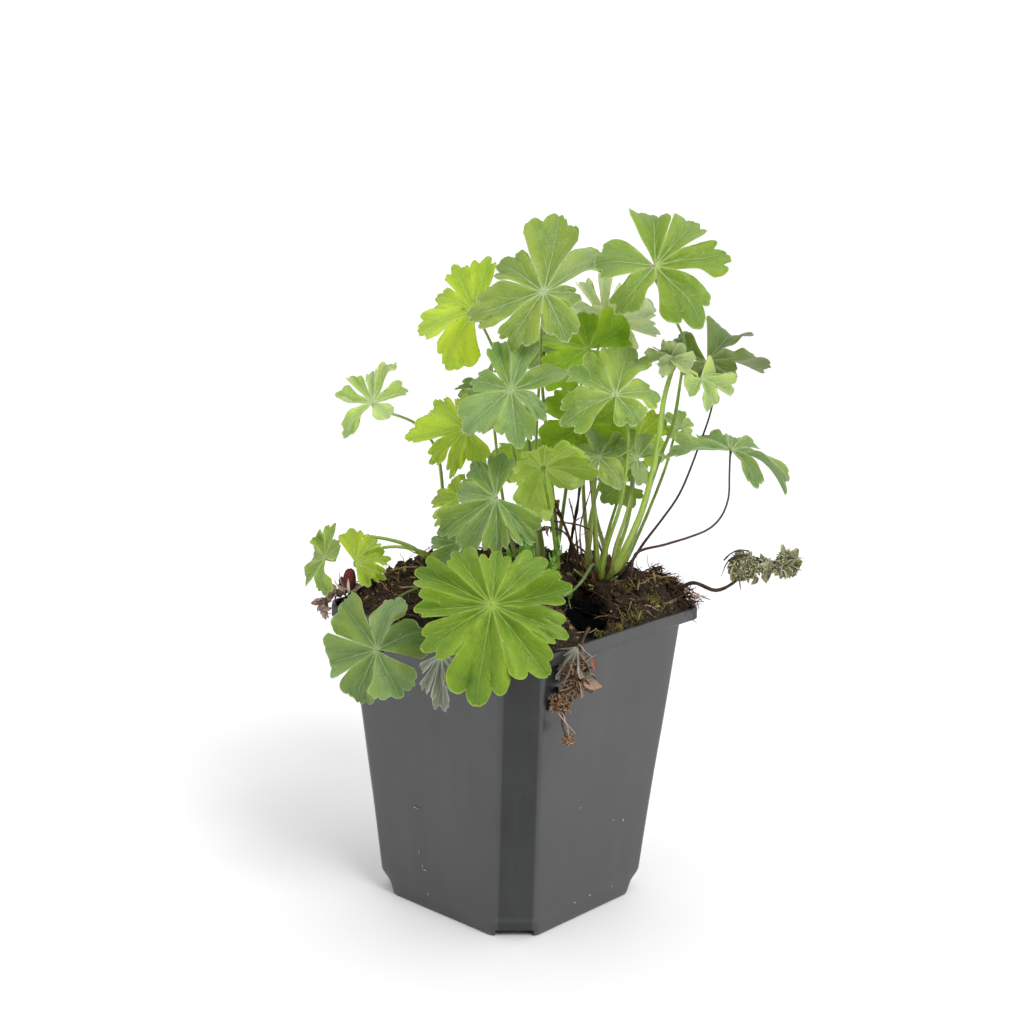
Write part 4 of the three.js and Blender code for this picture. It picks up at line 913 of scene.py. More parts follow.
@cache
def stalk_material(stalk, base):
    """Ribbed skin that turns to the base's colour, with a painted highlight down one side and dark
    streaks down the other, partly the stalk's own stripes and partly painted shade.
    """
    t = new_tree("stalk_" + stalk[1:] + "_" + base[1:])
    along, around, _ = t.vector("place")
    grain = t.noise(0.5, z=120)
    # A lit copy of the stalk's colour, for the painted highlight and the paler grain, and a shaded
    # copy for the dark streaks.
    pale, dark = colour(stalk, 1.5, 1.4, 1.1), colour(stalk, 0.3, 0.42, 0.45)
    body = t.layers(t.mix(t.ramp(along, 0.0, 0.5), colour(base), colour(stalk)),
                    # painted highlight down one side
                    (pale, t.ramp(around, 0.55, 0.1), 0.75),
                    # dark streaks down the other side: partly the stalk's stripes, partly painted
                    # shade
                    (dark, t.ramp(around, 0.45, 0.75), t.ramp(t.noise(9.0, 2.0), 0.3, 0.5)),
                    (pale, t.ramp(grain, 0.4, 0.75), 0.35))
    return t.finish(t.skin(body, 0.36, {"Normal": t.bump(grain, 0.4, 0.12)}))


# Earthy, woody and dry stuff: its three tones, the size of its grain, how rough it is, and
# the depth of its relief.
STUFF = {
    "scratch": ("#6a6c6e", "#96999b", "#c3c6c8", 0.8, 0.6, 0.4),
    "peat": ("#100b08", "#31241a", "#74583c", 1.7, 0.85, 0.6),
    "grit": ("#453521", "#7a6442", "#b09a68", 1.2, 0.85, 0.4),
    "chip": ("#26170e", "#553722", "#8d6440", 1.3, 0.85, 0.4),
    "fibre": ("#140e0a", "#3b291c", "#7f6347", 1.5, 0.85, 0.4),
    "straw": ("#6d5636", "#98804f", "#c4b07c", 2.0, 0.85, 0.4),
    "root": ("#a5786a", "#c39a8a", "#dcc0ae", 2.5, 0.6, 0.4),
    "moss": ("#34351a", "#5e6028", "#a29a4c", 2.0, 0.7, 0.4),
    "seedling": ("#4a7a22", "#6c9a36", "#9cc062", 3.0, 0.5, 0.4),
    "bark": ("#150d08", "#2f1f16", "#5a4030", 1.6, 0.85, 0.4),
    "scale": ("#2c1b12", "#563b2a", "#8d6c4c", 1.5, 0.7, 0.4),
    "stub": ("#4e5a2c", "#7c8c44", "#aab774", 2.0, 0.6, 0.4),
    "twig": ("#2a201c", "#4e3c2e", "#8d7556", 1.5, 0.75, 0.4),
    "tan_twig": ("#4a3126", "#7d5b44", "#ab8b68", 1.5, 0.75, 0.4),
    "dried_flap": ("#7d5f4e", "#a58470", "#cdb29c", 1.6, 0.75, 0.4),
    "red_tip": ("#5a1d14", "#84382a", "#b98a74", 1.0, 0.5, 0.4),
    "crimson": ("#3f1014", "#70242c", "#a8585a", 1.4, 0.5, 0.4),
    "bract": ("#b09a86", "#d6c6b2", "#f0e6d6", 1.8, 0.7, 0.4),
    "litter": ("#6d5048", "#a08074", "#cdb3a6", 1.4, 0.8, 0.4),
}


@cache
def stuff(name):
    """Three tones in patches with a coarse and a fine relief, painted black as shade where trait.x
    puts it in the hollow.
    """
    dark, middle, light, size, rough, depth = STUFF[name]
    t = new_tree(name)
    painted_hollow_shade, _, tone = t.vector("trait")
    coarse, fine = t.noise(size, 5.0, rough=0.65), t.noise(size * 0.22, 4.0)
    body = t.mix(t.ramp(coarse, 0.36, 0.62), colour(dark), colour(middle))
    lit = t.math("ADD", t.times(t.ramp(fine, 0.5, 0.8), 0.5), t.times(tone, 0.55), clamp=True)
    # Painted shade: near black, with its shine taken away below, where the point lies in the deep
    # hollow.
    body = t.mix(painted_hollow_shade, t.mix(lit, body, colour(light)), (0.002, 0.003, 0.004, 1.0))
    normal = t.bump(t.math("ADD", coarse, t.times(fine, 0.5)), 0.7, depth)
    shine = t.ramp(painted_hollow_shade, 0.0, 0.9, 0.3, 0.0, "LINEAR")
    return t.finish(t.skin(body, rough, {"Specular IOR Level": shine, "Normal": normal}))


def stuffs(*names):
    return [stuff(name) for name in names]


def pot_material():
    """Dark grey moulded plastic, satin, with flow streaks, dust near the rim and scuffs below.
    The cut corners shine less than the sides."""
    t = new_tree("pot_plastic")
    streak = t.noise(5.0, z=70)
    grain = t.noise(0.5, 2.0)
    cloud = t.noise(26.0)
    x, y, height = t.split(t.add("ShaderNodeTexCoord").outputs["Object"])
    scuff = t.ramp(t.noise(2.4, 6.0, 300, 0.75), 0.66, 0.76)
    low = t.ramp(height, 0.012, 0.0, 0.25, 1.0)
    dust = t.ramp(t.noise(1.3, 5.0, rough=0.7), 0.6, 0.72)
    body = t.layers(t.mix(t.ramp(cloud, 0.3, 0.7), colour("#262728"), colour("#303132")),
                    (colour("#3a3b3c"), t.ramp(streak, 0.42, 0.75), 0.35),
                    (colour("#8d9091"), scuff, t.times(low, 0.5)),
                    (colour("#6f665b"), dust, t.ramp(height, 0.075, 0.1, 0.12, 0.6)))
    relief = t.math("ADD", t.times(grain, 0.25), t.times(streak, 0.6))
    normal = t.bump(relief, 0.35, 0.1)
    rough = t.ramp(t.math("ADD", cloud, t.times(grain, 0.3)), 0.4, 0.95, 0.3, 0.42)
    x, y = t.math("ABSOLUTE", x), t.math("ABSOLUTE", y)
    past = t.math("SUBTRACT", t.math("MAXIMUM", x, y), t.math("MINIMUM", x, y))
    side = t.ramp(past, 0.0, 0.0085, kind="LINEAR")
    shine = t.ramp(side, 0.85, 1.0, 0.36, 0.78)
    return t.finish(t.skin(body, rough, {"Specular IOR Level": shine, "Normal": normal}))


# ---------------------------------------------------------------- pot

def rounded_outline(half, cut):
    """A square with cut corners whose edges are rounded, anticlockwise, as x and y."""
    corners = np.array([turned(x, y, quarter * math.pi / 2) for quarter in range(4)
                        for x, y in ((half, half - cut), (half - cut, half))])
    outline = []
    for i, corner in enumerate(corners):
        following = corners[(i + 1) % 8]
        before = corner + unit(corners[i - 1] - corner) * SOFTEN
        after = corner + unit(following - corner) * SOFTEN
        for s in np.linspace(0, 1, 5):
            outline.append((1 - s) ** 2 * before + 2 * s * (1 - s) * corner + s**2 * after)
        end = following + unit(corner - following) * SOFTEN
        for s in np.linspace(0, 1, 11 if i % 2 else 4)[1:-1]:
            outline.append(after + (end - after) * s)
    return np.array(outline)


def above_step(low, top, z):
    """What runs evenly from low at the step in the corner to top under the collar."""
    return low + (top - low) * (z - STEP_HIGH) / (COLLAR_FOOT - STEP_HIGH)


def wall_half(z):
    if z < STEP_HIGH:
        return BASE_HALF + (LOW_HALF - BASE_HALF) * z / STEP_HIGH
    return above_step(LOW_HALF, TOP_HALF, z)


def wall_cut(z):
    if z < STEP_LOW:
        return FOOT_CUT
    if z < STEP_HIGH:
        return FOOT_CUT + (LOW_CUT - FOOT_CUT) * smooth((z - STEP_LOW) / (STEP_HIGH - STEP_LOW))
    return above_step(LOW_CUT, TOP_CUT, z)


def pot_rings():
    """Height, half width and corner cut of every ring, from the ground up, over the rim and
    down the inside to the floor."""
    foot, top, inside, cut = COLLAR_FOOT, POT_HEIGHT, RIM_HALF - WALL, RIM_CUT - CORNER_THIN
    outer = [2.1, 3.3, STEP_LOW, 5.2, 6, 6.8, 7.6, STEP_HIGH, *np.linspace(11, foot - 0.5, 22)]
    inner = np.linspace(foot - 2, STEP_HIGH, 10)
    return [
        (0.0, BASE_HALF - 0.5, FOOT_CUT), (0.15, BASE_HALF - 0.12, FOOT_CUT),
        (0.5, wall_half(0.5), FOOT_CUT), *((z, wall_half(z), wall_cut(z)) for z in outer),
        (foot, TOP_HALF + 0.1, TOP_CUT), (foot, RIM_HALF - 0.3, RIM_CUT + 0.1),
        *((z, RIM_HALF, RIM_CUT) for z in (foot + 0.3, foot + 1.4, foot + 2.6, top - 0.55)),
        (top - 0.15, RIM_HALF - 0.14, RIM_CUT), (top, RIM_HALF - 0.5, RIM_CUT),
        (top, inside + 0.25, RIM_CUT), (top - 0.25, inside, cut), (foot + WALL + 0.3, inside, cut),
        (foot + WALL, inside - 0.3, cut),
        (foot + WALL - 0.1, TOP_HALF - WALL, TOP_CUT - CORNER_THIN),
        *((z, wall_half(z) - WALL, wall_cut(z) - CORNER_THIN) for z in inner),
        (FLOOR + 2.2, wall_half(FLOOR + 2.2) - WALL, FOOT_CUT - CORNER_THIN),
        (FLOOR, wall_half(FLOOR) - WALL, 20.0)]


def cut_out(piece, cutters):
    """Takes the cutters out of a piece and removes them."""
    for cutter in cutters:
        modifier = piece.modifiers.new("cut", "BOOLEAN")
        modifier.object, modifier.operation, modifier.solver = cutter, "DIFFERENCE", "EXACT"
    bpy.context.view_layer.update()
    evaluated = piece.evaluated_get(bpy.context.evaluated_depsgraph_get())
    mesh = bpy.data.meshes.new_from_object(evaluated)
    piece.modifiers.clear()
    piece.data = mesh
    for cutter in cutters:
        bpy.data.objects.remove(cutter)
    mesh.polygons.foreach_set("use_smooth", [True] * len(mesh.polygons))
    mesh.set_sharp_from_angle(angle=math.radians(38))


def make_pot(material):
    """The moulded shell, its sides a little bowed and waved, with its notches and drain holes."""
    outlines = []
    for z, half, cut in pot_rings():
        ring = rounded_outline(half, cut)
        bow = WALL_BOW * math.sin(math.pi * (z / POT_HEIGHT))
        on_side = np.max(np.abs(ring), axis=1, keepdims=True) / half > 0.98
        inwards = 1 - np.abs(ring).min(axis=1, keepdims=True) / half
        outlines.append(np.column_stack([ring * (1 - bow / half * inwards * on_side),
                                         np.full(len(ring), z)]))
    points = np.vstack(outlines)
    wave = WALL_WAVE * noise(points, 30.0, 1.3) * smooth(points[:, 2] / 20)
    points[:, :2] *= 1 + (wave / 40)[:, None]
    shape = Shape()
    shape.add(points, tube_faces(len(outlines), len(outlines[0])))
    pot = shape.build("pot_body", [material], plant=False)
    cutters = []
    for quarter in range(4):
        turn = math.pi / 4 + quarter * math.pi / 2
        bpy.ops.mesh.primitive_cube_add(size=1)
        notch = bpy.context.object
        notch.scale = (NOTCH_DEPTH * MM, NOTCH_WIDTH * MM, 2 * NOTCH_HEIGHT * MM)
        notch.location = outwards(turn) * (NOTCH_REACH + NOTCH_DEPTH / 2) * MM
        notch.rotation_euler = (0, 0, turn)
        bpy.ops.mesh.primitive_cylinder_add(vertices=32, radius=DRAIN_RADIUS * MM,
                                            depth=DRAIN_DEPTH * MM)
        drain = bpy.context.object
        drain.location = outwards(turn) * DRAIN_REACH * math.sqrt(2) * MM
        cutters += [notch, drain]
    cut_out(pot, cutters)
    fix(pot, "pot_plastic", "pot")


# Scratches on the pot's two front sides: place along the side, height, half length and half
# height.
SCRATCHES = {
    "left": [(-8, 36.4, 1.2, 0.14), (-5.6, 14.7, 0.9, 0.2), (-6.6, 15.8, 0.3, 0.7),
             (-5.2, 6, 0.22, 0.7), (-7.9, 20.5, 0.2, 0.8)],
    "right": [(-8.9, 41.5, 1.1, 0.12), (9.2, 31.8, 0.5, 0.2), (14.6, 30.2, 0.25, 0.4),
              (-6.1, 6.6, 0.7, 0.15), (1.4, 6.9, 0.5, 0.2), (12.9, 6.2, 0.25, 0.4)],
}


def make_scratches(material):
    """Pale slivers on the pot, each with its underside in the wall."""
    shape, thick = Shape(), 0.05
    for side, marks in SCRATCHES.items():
        for along, z, half, up in marks:
            if side == "right":
                at, size = (wall_half(z), along, z), (thick, half, up)
            else:
                at, size = (along, -wall_half(z), z), (half, thick, up)
            add_lump(shape, at, size, 0.4, 0.7, 5, 10, trait=(0, 0, RANDOM.random()))
    fix(shape.build("pot_specks", [material], plant=False), "pot_plastic")


# ---------------------------------------------------------------- peat

def outline_reach(half, cut, angle):
    """How far a square with cut corners reaches from its middle at an angle."""
    turn, rise = np.abs(np.cos(angle)), np.abs(np.sin(angle))
    return np.minimum(np.minimum(half / np.maximum(turn, 1e-6), half / np.maximum(rise, 1e-6)),
                      (2 * half - cut) / (turn + rise))


def peat_reach(x, y):
    return outline_reach(PEAT_HALF, PEAT_CUT, np.arctan2(y, x))


def hollow_shade(x, y):
    """How dark the peat is in the deep hollow in front, at a point of the pot's frame."""
    plant_x, plant_y = turned(x, y, -PLANT_TURN)
    away = np.hypot((plant_x - HOLLOW_AT[0]) / HOLLOW_SIZE[0],
                    (plant_y - HOLLOW_AT[1]) / HOLLOW_SIZE[1])
    return 0.97 * (1 - smooth((away - 0.65) / 0.4))


def peat_surface(x, y):
    """Height of the peat at a point of the pot's frame, with its clods and grains."""
    t = np.clip(np.hypot(x, y) / peat_reach(x, y), 0, 1)
    plant_x, plant_y = turned(x, y, -PLANT_TURN)
    slope = 1 - t**SOIL_SHOULDER
    height = SOIL_EDGE + slope * (SOIL_MOUND + 1.5 * cad_noise(x * 0.33, y * 0.33))
    for at_x, at_y, radius, rise in SOIL_RELIEF:
        away = np.hypot(plant_x - at_x, plant_y - at_y) / radius
        height = height + slope * rise * np.exp(-away * away)
    points = np.column_stack([x, y, np.zeros_like(x)])
    clods = 1.1 * noise(points, 7.0, 0.4) + 0.7 * noise(points, 3.2, 1.9)
    grains = 0.45 * noise(points, 1.5, 2.7) + 0.25 * noise(points, 0.8, 3.1)
    dark = hollow_shade(x, y)
    return (height + (clods + grains) * (1 - 0.5 * t**6) * (1 - 0.6 * dark)
            - HOLLOW_DEEPER * dark * (1 - t**6))


def on_peat(spots, lift=0.0):
    """Points of the plant's frame, from x and y, that lie on the peat."""
    x, y = np.asarray(spots, float).T
    return np.column_stack([x, y, peat_surface(*turned(x, y, PLANT_TURN)) + lift])


def scatter(count, margin):
    """Random points of the plant's frame on the peat, each with the hollow's painted shade there.
    """
    spots = RANDOM.uniform(-1.5 * PEAT_HALF, 1.5 * PEAT_HALF, (5 * count, 2))
    x, y = turned(*spots.T, PLANT_TURN)
    keep = np.flatnonzero(np.hypot(x, y) < peat_reach(x, y) - margin)[:count]
    return zip(on_peat(spots[keep]), hollow_shade(x[keep], y[keep]))


def make_peat(material):
    """The root ball: two hidden rings below, and the surface from the pot's wall inwards."""
    sides, rings = 200, 74
    angle = 2 * math.pi * np.arange(sides) / sides
    cos, sin = np.cos(angle), np.sin(angle)
    share = np.linspace(1, 0.012, rings)[:, None] * outline_reach(PEAT_HALF, PEAT_CUT, angle)
    x, y = (share * cos).ravel(), (share * sin).ravel()
    points = []
    for depth, half, cut in ((12.0, LOW_HALF - WALL - 1, LOW_CUT), (90.0, 39.0, 9.0)):
        reach = outline_reach(half, cut, angle)
        points.append(np.column_stack([reach * cos, reach * sin, np.full(sides, depth)]))
    points = np.vstack([*points, np.column_stack([x, y, peat_surface(x, y)])])
    trait = np.zeros((len(points), 3))
    trait[2 * sides:, 0] = hollow_shade(x, y)
    shape = Shape()
    shape.add(points, tube_faces(rings + 2, sides), trait=trait)
    fix(shape.build("peat_surface", [material], plant=False), "peat", "soil")


# ---------------------------------------------------------------- what lies in the peat

CRUMBS, CLODS, FLAKES, FIBRES, STRAWS, FRINGE = 5200, 420, 620, 800, 150, 420  # how many
OCTAHEDRON = np.array([(1, 0, 0), (0, 1, 0), (0, 0, 1), (-1, 0, 0), (0, -1, 0), (0, 0, -1)])
OCTAHEDRON_FACES = [(0, 1, 2), (1, 3, 2), (3, 4, 2), (4, 0, 2), (1, 0, 5), (3, 1, 5), (4, 3, 5),
                    (0, 4, 5)]
# Bare roots that lie over the peat: start, end and radius.
ROOTS = [((50, 2, 105.5), (60, 3, 102.6), 0.55), ((52, 5, 105.3), (62, 6, 101.6), 0.45),
         ((49, 6, 106), (59, 1, 103.2), 0.5),
         ((30, -6, 104), (44, -13, 103.5), 0.38), ((33, -8, 104.5), (49, 1, 105.5), 0.32),
         ((40, -12, 103), (50, -6, 102.5), 0.3), ((18, 12, 112), (28, 3, 107), 0.55),
         ((-34, 4, 106), (-26, -4, 108), 0.35)]
# Cushions of moss: middle x and y, spread, number of leaflets.
MOSS = [(45.5, -8, 3.2, 120), (39, -18.5, 3.2, 110), (28, -33, 3.0, 90), (37, -4, 2.4, 60),
        (33, -26, 2.4, 70), (14, 24, 4, 110), (22, 14, 3.2, 80), (-30, -14, 3, 70),
        (50, 12, 2.6, 70), (4, -40, 3, 60), (-12, 34, 4, 90), (-44, 10, 3, 50), (44, 22, 3, 60)]
# Seedlings and bright tufts behind the front leaf: x, y, height of its tip over the peat.
SEEDLINGS = [(6, -20, 17), (3, -24, 14), (9, -22, 19), (0, -20, 12), (-12, -24, 9),
             (-2, -27, 10), (8, -28, 12), (11, -24, 14), (18, -10, 5)]


def make_crumbs(materials):
    """Crumbs, clods, flakes of bark and grit, lying thick all over the peat."""
    shape = Shape()
    # dark is the hollow's painted shade at each spot: crumbs stay out of it, and clods there are
    # painted black.
    for spot, dark in scatter(CRUMBS, 0.6):
        if dark <= 0.5:
            size = RANDOM.uniform(0.22, 0.62)
            corners = OCTAHEDRON * RANDOM.uniform(0.6, 1.5, (6, 1)) * size
            shape.add(spot + corners @ random_turn(), OCTAHEDRON_FACES,
                      int(RANDOM.random() < 0.12), trait=(dark, 0, RANDOM.random() ** 2))
    for spot, dark in scatter(CLODS, 2.0):
        size = RANDOM.uniform(0.8, 2.1) * RANDOM.uniform((0.7, 0.4, 0.2), (1.4, 0.9, 0.5))
        add_lump(shape, spot, size, 0.5, 1.1, 5, 8, random_turn(), (dark, 0, RANDOM.random() ** 3))
    for spot, dark in scatter(FLAKES, 1.5):
        if dark < 0.4:
            add_scale(shape, spot, random_ray(0.3), random_ray(), RANDOM.uniform(1.5, 5.5),
                      RANDOM.uniform(0.7, 2.2), RANDOM.uniform(-60, 60), 0.2,
                      RANDOM.integers(0, 3), RANDOM.random(), 0.5, 0.35, 5, 4)
    fix(shape.build("peat_crumbs", materials, sharp=40), "peat")


def make_fibres(materials):
    """Roots and straw: over the whole peat, and in a fringe over the rim at the right."""
    shape = Shape()
    for spot, dark in scatter(FIBRES, 1.5):
        if dark <= 0.5:
            heading = random_ray() * (1, 1, 0.35) + (0, 0, 0.12)
            add_fibre(shape, spot + (0, 0, 0.3), heading, RANDOM.uniform(3, 9),
                      RANDOM.uniform(0.08, 0.3), 0.3, RANDOM.choice([0, 0, 0, 1]),
                      RANDOM.random(), sag=0.03)
    for spot, dark in scatter(STRAWS, 3.0):
        if dark < 0.3:
            heading = random_ray() * (1, 1, 0.12) + (0, 0, 0.05)
            add_fibre(shape, spot + (0, 0, 0.7), heading, RANDOM.uniform(5, 13),
                      RANDOM.uniform(0.25, 0.5), 0.12, RANDOM.choice([0, 0, 1]),
                      RANDOM.random(), 5)
    for _ in range(FRINGE):
        along = RANDOM.uniform(0, 1) ** 0.8
        at = np.array([45, 22]) + along * np.array([13.5, -23])
        at = at + RANDOM.uniform(-8, 0.5) * np.array([0.83, 0.55])
        start = on_peat([at])[0] + (0, 0, RANDOM.uniform(-0.3, 2.2))
        heading = (1.0, RANDOM.normal(0.1, 0.6), RANDOM.normal(0.15, 0.45))
        add_fibre(shape, start, heading, RANDOM.uniform(2, 6.5), RANDOM.uniform(0.12, 0.42),
                  0.3, 0, RANDOM.random() * 0.5, sag=0.08)
    for start, end, radius in ROOTS:
        line = spine([start, (np.add(start, end) / 2 + (0, 0.5, 1.2)), end], 1.3)
        line = line + 0.25 * np.column_stack([noise(line, 3.0, s) for s in (0.2, 1.4, 2.8)])
        add_tube(shape, line, radius * np.linspace(1, 0.5, len(line)), 6, 2, RANDOM.random())
        for _ in range(3):
            add_fibre(shape, line[-1], line[-1] - line[-3] + RANDOM.normal(0, 0.6, 3), 3.2,
                      radius * 0.5, 0.3, 2, 0.5)
    fix(shape.build("peat_fibres", materials), "peat")


def make_moss(materials):
    """Cushions of moss, and the seedlings and tufts with their leaves."""
    shape = Shape()
    for x, y, spread, count in MOSS:
        spots = on_peat(np.array([x, y]) + RANDOM.normal(0, spread / 2, (count, 2)), -0.25)
        sides = np.abs(turned(spots[:, 0], spots[:, 1], PLANT_TURN)).max(axis=0)
        spots = spots[sides < PEAT_HALF - 1.2]
        rays = RANDOM.normal(0, 0.5, (len(spots), 3)) + (0, 0, 1)
        for spot, ray in zip(spots, rays):
            add_scale(shape, spot, ray, random_ray(), RANDOM.uniform(0.9, 2.2), 0.5,
                      RANDOM.uniform(10, 60), 0.4, 0, RANDOM.random(), rows=4, columns=3)
    for x, y, height in SEEDLINGS:
        foot = on_peat([(x, y)])[0]
        lean = unit(RANDOM.normal(0, 0.22, 3) + (0, 0, 1))
        add_fibre(shape, foot, lean, height, 0.28, 0.05, 1, 0.6, 5)
        tip = foot + lean * height
        for turn in RANDOM.uniform(0, 2 * math.pi) + np.arange(2 + height // 2) * 2.1:
            ray = outwards(turn, 0.9)
            add_scale(shape, tip - lean * RANDOM.uniform(0, height * 0.6), ray,
                      np.cross(ray, lean), RANDOM.uniform(2.4, 4.6), RANDOM.uniform(1.2, 2.2),
                      50, 0.3, 1, RANDOM.random(), crumple=0.3)
    fix(shape.build("moss", materials), "stem_green")


def make_crowns(materials):
    """Short woody stocks in ragged brown scales, with stubs of old stalks."""
    for name, (at, size) in CROWNS.items():
        shape = Shape()
        add_lump(shape, at, size, 0.12, 2.2, 18, 28)
        for _ in range(26):
            ray = random_ray(0.9)
            ray[2] = abs(ray[2])
            heading = unit(ray * (1, 1, 0.4) + (0, 0, 0.9))
            add_scale(shape, at + ray * (egg_reach(size, ray) - 0.6), heading,
                      np.cross(ray, (0, 0, 1.0)), RANDOM.uniform(3, 6.5),
                      RANDOM.uniform(1.4, 2.6), RANDOM.uniform(-25, 45), 0.5, 1,
                      RANDOM.random(), crumple=0.15)
        for _ in range(7):
            ray = unit(random_ray(1.2) * (1, 1, 0.8))
            ray[2] = abs(ray[2]) + 0.2
            add_fibre(shape, at + ray * (egg_reach(size, ray) - 1), ray, RANDOM.uniform(3, 7),
                      RANDOM.uniform(0.35, 0.8), 0.12, 2, RANDOM.random(), 7)
        fix(shape.build("crown_" + name + "_full", materials), "crown_bark", "crown_" + name)


# ---------------------------------------------------------------- shoot, buds and dry parts

def curled_blade(hub, face, length, droop, count, key, start=0, spread=360, half=20, fold=0.35,
                 crumple=0.8):
    """A small blade whose lobes have rolled up."""
    lobes = [(start + spread / count * i, length * (1 + 0.2 * math.sin(5 * i + length)),
              droop * (1 + 0.2 * math.cos(3 * i)), half) for i in range(count)]
    return Leaf("", key, "", hub, face, (fold, 0.2, 0.95), lobes, crumple=crumple)


# The young leaves at the shoot's head: hub, face, length, droop, first heading and spread.
OPENING = [((47.5, -2, 182.5), (-20, 45), 7, 35, 350, 240),
           ((50.5, 0.5, 182), (50, 25), 6, 50, 20, 200),
           ((46.5, 0.5, 181), (-80, 20), 5, 60, 60, 200)]
# Rolled and crumpled blades of the withered leaves.
ROLLED = {
    "withered_leaf_right": [
        curled_blade((73, -10, 119.8), (-20, 66), 7.6, 175, 7, DRIED, half=13, crumple=1),
        curled_blade((80, -10.5, 118.5), (10, 30), 5, 100, 4, DRIED, 230, 160, 12),
        curled_blade((85, -10, 118.5), (-15, 40), 6.5, 55, 6, DRIED, 230, 250, 12, 0.35, 1.2)],
    "withered_leaf_front": [
        curled_blade((19, -49.6, 101), (-8, 14), 11, 30, 5, MAUVE, 205, 105, 13, 0.3),
        curled_blade((19, -51.3, 94.5), (0, 30), 8, 125, 6, RUST, half=14, crumple=1.3),
        curled_blade((19.5, -51.5, 90), (40, 10), 6.5, 95, 5, RUST, 210, 220, 14, 0.35, 1.3),
        curled_blade((14.3, -51.6, 85.5), (-30, 30), 5.5, 125, 5, RUST, half=14, crumple=1.2),
        curled_blade((17, -51.2, 72.4), (0, 50), 2.6, 120, 5, RUST)],
}
# The crinkled scraps round them: middle, spread, number.
FRILLS = {
    "withered_leaf_right": [((73.5, -10, 116.8), (4.8, 4, 4.3), 420),
                            ((80.2, -10, 117), (3, 1.4, 2.2), 70),
                            ((87, -10, 117.6), (3.8, 1.8, 4), 300)],
    "withered_leaf_front": [((18.5, -51.6, 92), (3.8, 1.7, 5.4), 200),
                            ((14.4, -51.8, 83.8), (3.2, 1.5, 2.8), 110),
                            ((17, -51.3, 71.6), (1.5, 1, 1.5), 50)],
}
# The stalks of the leaf that hangs out at the right: points, radii, sides and ripple.
RIGHT_RUNS = [
    ([(52, 2, 104), (58, -3, 109), (65, -8, 108), (70, -10, 111), (74, -11, 116), (80, -10, 119),
      (86, -10, 117)], (0.72, 0.4), 8, 0.15),
    ([(74, -12, 121), (71, -12.5, 121), (68, -11.5, 118.6), (66.3, -10.5, 113.6)],
     (0.5, 0.12), 6, 0.25),
    ([(75, -9, 121.6), (72, -9, 122), (69, -9, 120.6), (67, -9, 118.4)], (0.4, 0.2), 6, 0.4)]
FRONT_RUN = [(22, -32, 100), (23, -38, 103.5), (21, -47, 103), (19, -51, 96), (18, -52, 86),
             (15, -51, 78), (17, -51, 71)]
# Dried stalks that still stand behind the crown, and the twigs that lean on them.
DRY_STEMS = {
    "dry_stem_1": ([(19, 9, 108), (18.5, 8, 117), (15, 6, 127), (11, 6, 136)], (0.6, 0.4)),
    "dry_stem_2": ([(17.5, 15, 108), (18.5, 13, 120), (20, 9, 132), (21, 9, 144)], (0.6, 0.4)),
    "dry_stem_3": ([(20.5, 2.5, 108), (19, 1, 119), (15, -1, 125), (9, -3, 127)], (0.5, 0.35)),
}
TWIGS = {
    "dry_stem_1": [((19.3, 6, 117), (14.8, 5, 127), (11.4, 5, 132), 0.38),
                   ((21, 8, 111), (19, 8, 126), (17, 8, 134), 0.34)],
    "dry_stem_2": [((26, 7, 114), (25, 8, 130), (23.5, 9, 142), 0.4),
                   ((22, 5, 112), (21, 8, 124), (24, 7, 137), 0.3)],
    "dry_stem_3": [((29, 5, 115), (24, 4, 124.4), (10, 2, 128), 0.42),
                   ((10, 2, 128), (5, -1, 131), (1, -2, 133), 0.34),
                   ((25.9, 0, 111), (22.9, 1, 117.3), (19, 2, 120), 0.5)],
}


def make_shoot(materials):
    """The thick pale young stem, with folded leaves that are about to open at its head."""
    shape = Shape()
    stalk = [(36, -2, 121), (40, -2, 131), (43, -2, 143), (45, -2, 156), (46.5, -1, 170),
             (49, 0, 180)]
    line = add_run(shape, [*seat_points(("main", 66, 60)), *stalk], (1.25, 0.75), 12)
    hairs = 260
    picks = RANDOM.integers(1, len(line) - 1, hairs)
    rays = unit(RANDOM.normal(0, 1, (hairs, 3)) * (1, 1, 0.2))
    add_hairs(shape, line[picks] + rays * 1.0, rays, 0.6, 0)
    for number, (hub, face, length, droop, start, spread) in enumerate(OPENING):
        blade = curled_blade(hub, face, length, droop, 5, YOUNG, start, spread, 30, 0.5, 0.3)
        add_blade(shape, blade, 100 + number, 1)
        add_run(shape, [(48, -0.5, 176), (np.array(hub) + BUD[0]) / 2, hub], (0.6, 0.4), 7)
    fix(shape.build("shoot_full", materials), "stem_green", "shoot")


def add_frills(shape, name):
    """Small crinkled scraps all round the rolled-up blades."""
    for at, size, count in FRILLS[name]:
        for _ in range(count):
            ray = random_ray()
            add_scale(shape, at + ray * size * RANDOM.uniform(0.7, 1), ray + random_ray(),
                      random_ray(), RANDOM.uniform(0.6, 1.9), RANDOM.uniform(0.5, 1.2),
                      RANDOM.uniform(30, 150), 0.4, 1, RANDOM.random(), 0.6, 0.3, 5, 4)


def make_withered_right(materials):
    """The dried leaf that hangs out at the right."""
    shape, name = Shape(), "withered_leaf_right"
    for points, radii, sides, ripple in RIGHT_RUNS:
        add_run(shape, points, radii, sides, 0, ripple)
    for number, blade in enumerate(ROLLED[name]):
        add_blade(shape, blade, 60 + number, 1)
    for x, z in ((80.5, 114.5), (79, 118), (82, 117), (77.5, 113.5)):
        add_scale(shape, (x, -10.5, z), random_ray(), random_ray(), 3.2, 2.4, 60, 0.4, 1,
                  RANDOM.random(), crumple=0.5)
    add_frills(shape, name)
    fix(shape.build(name + "_full", materials), "withered", name)


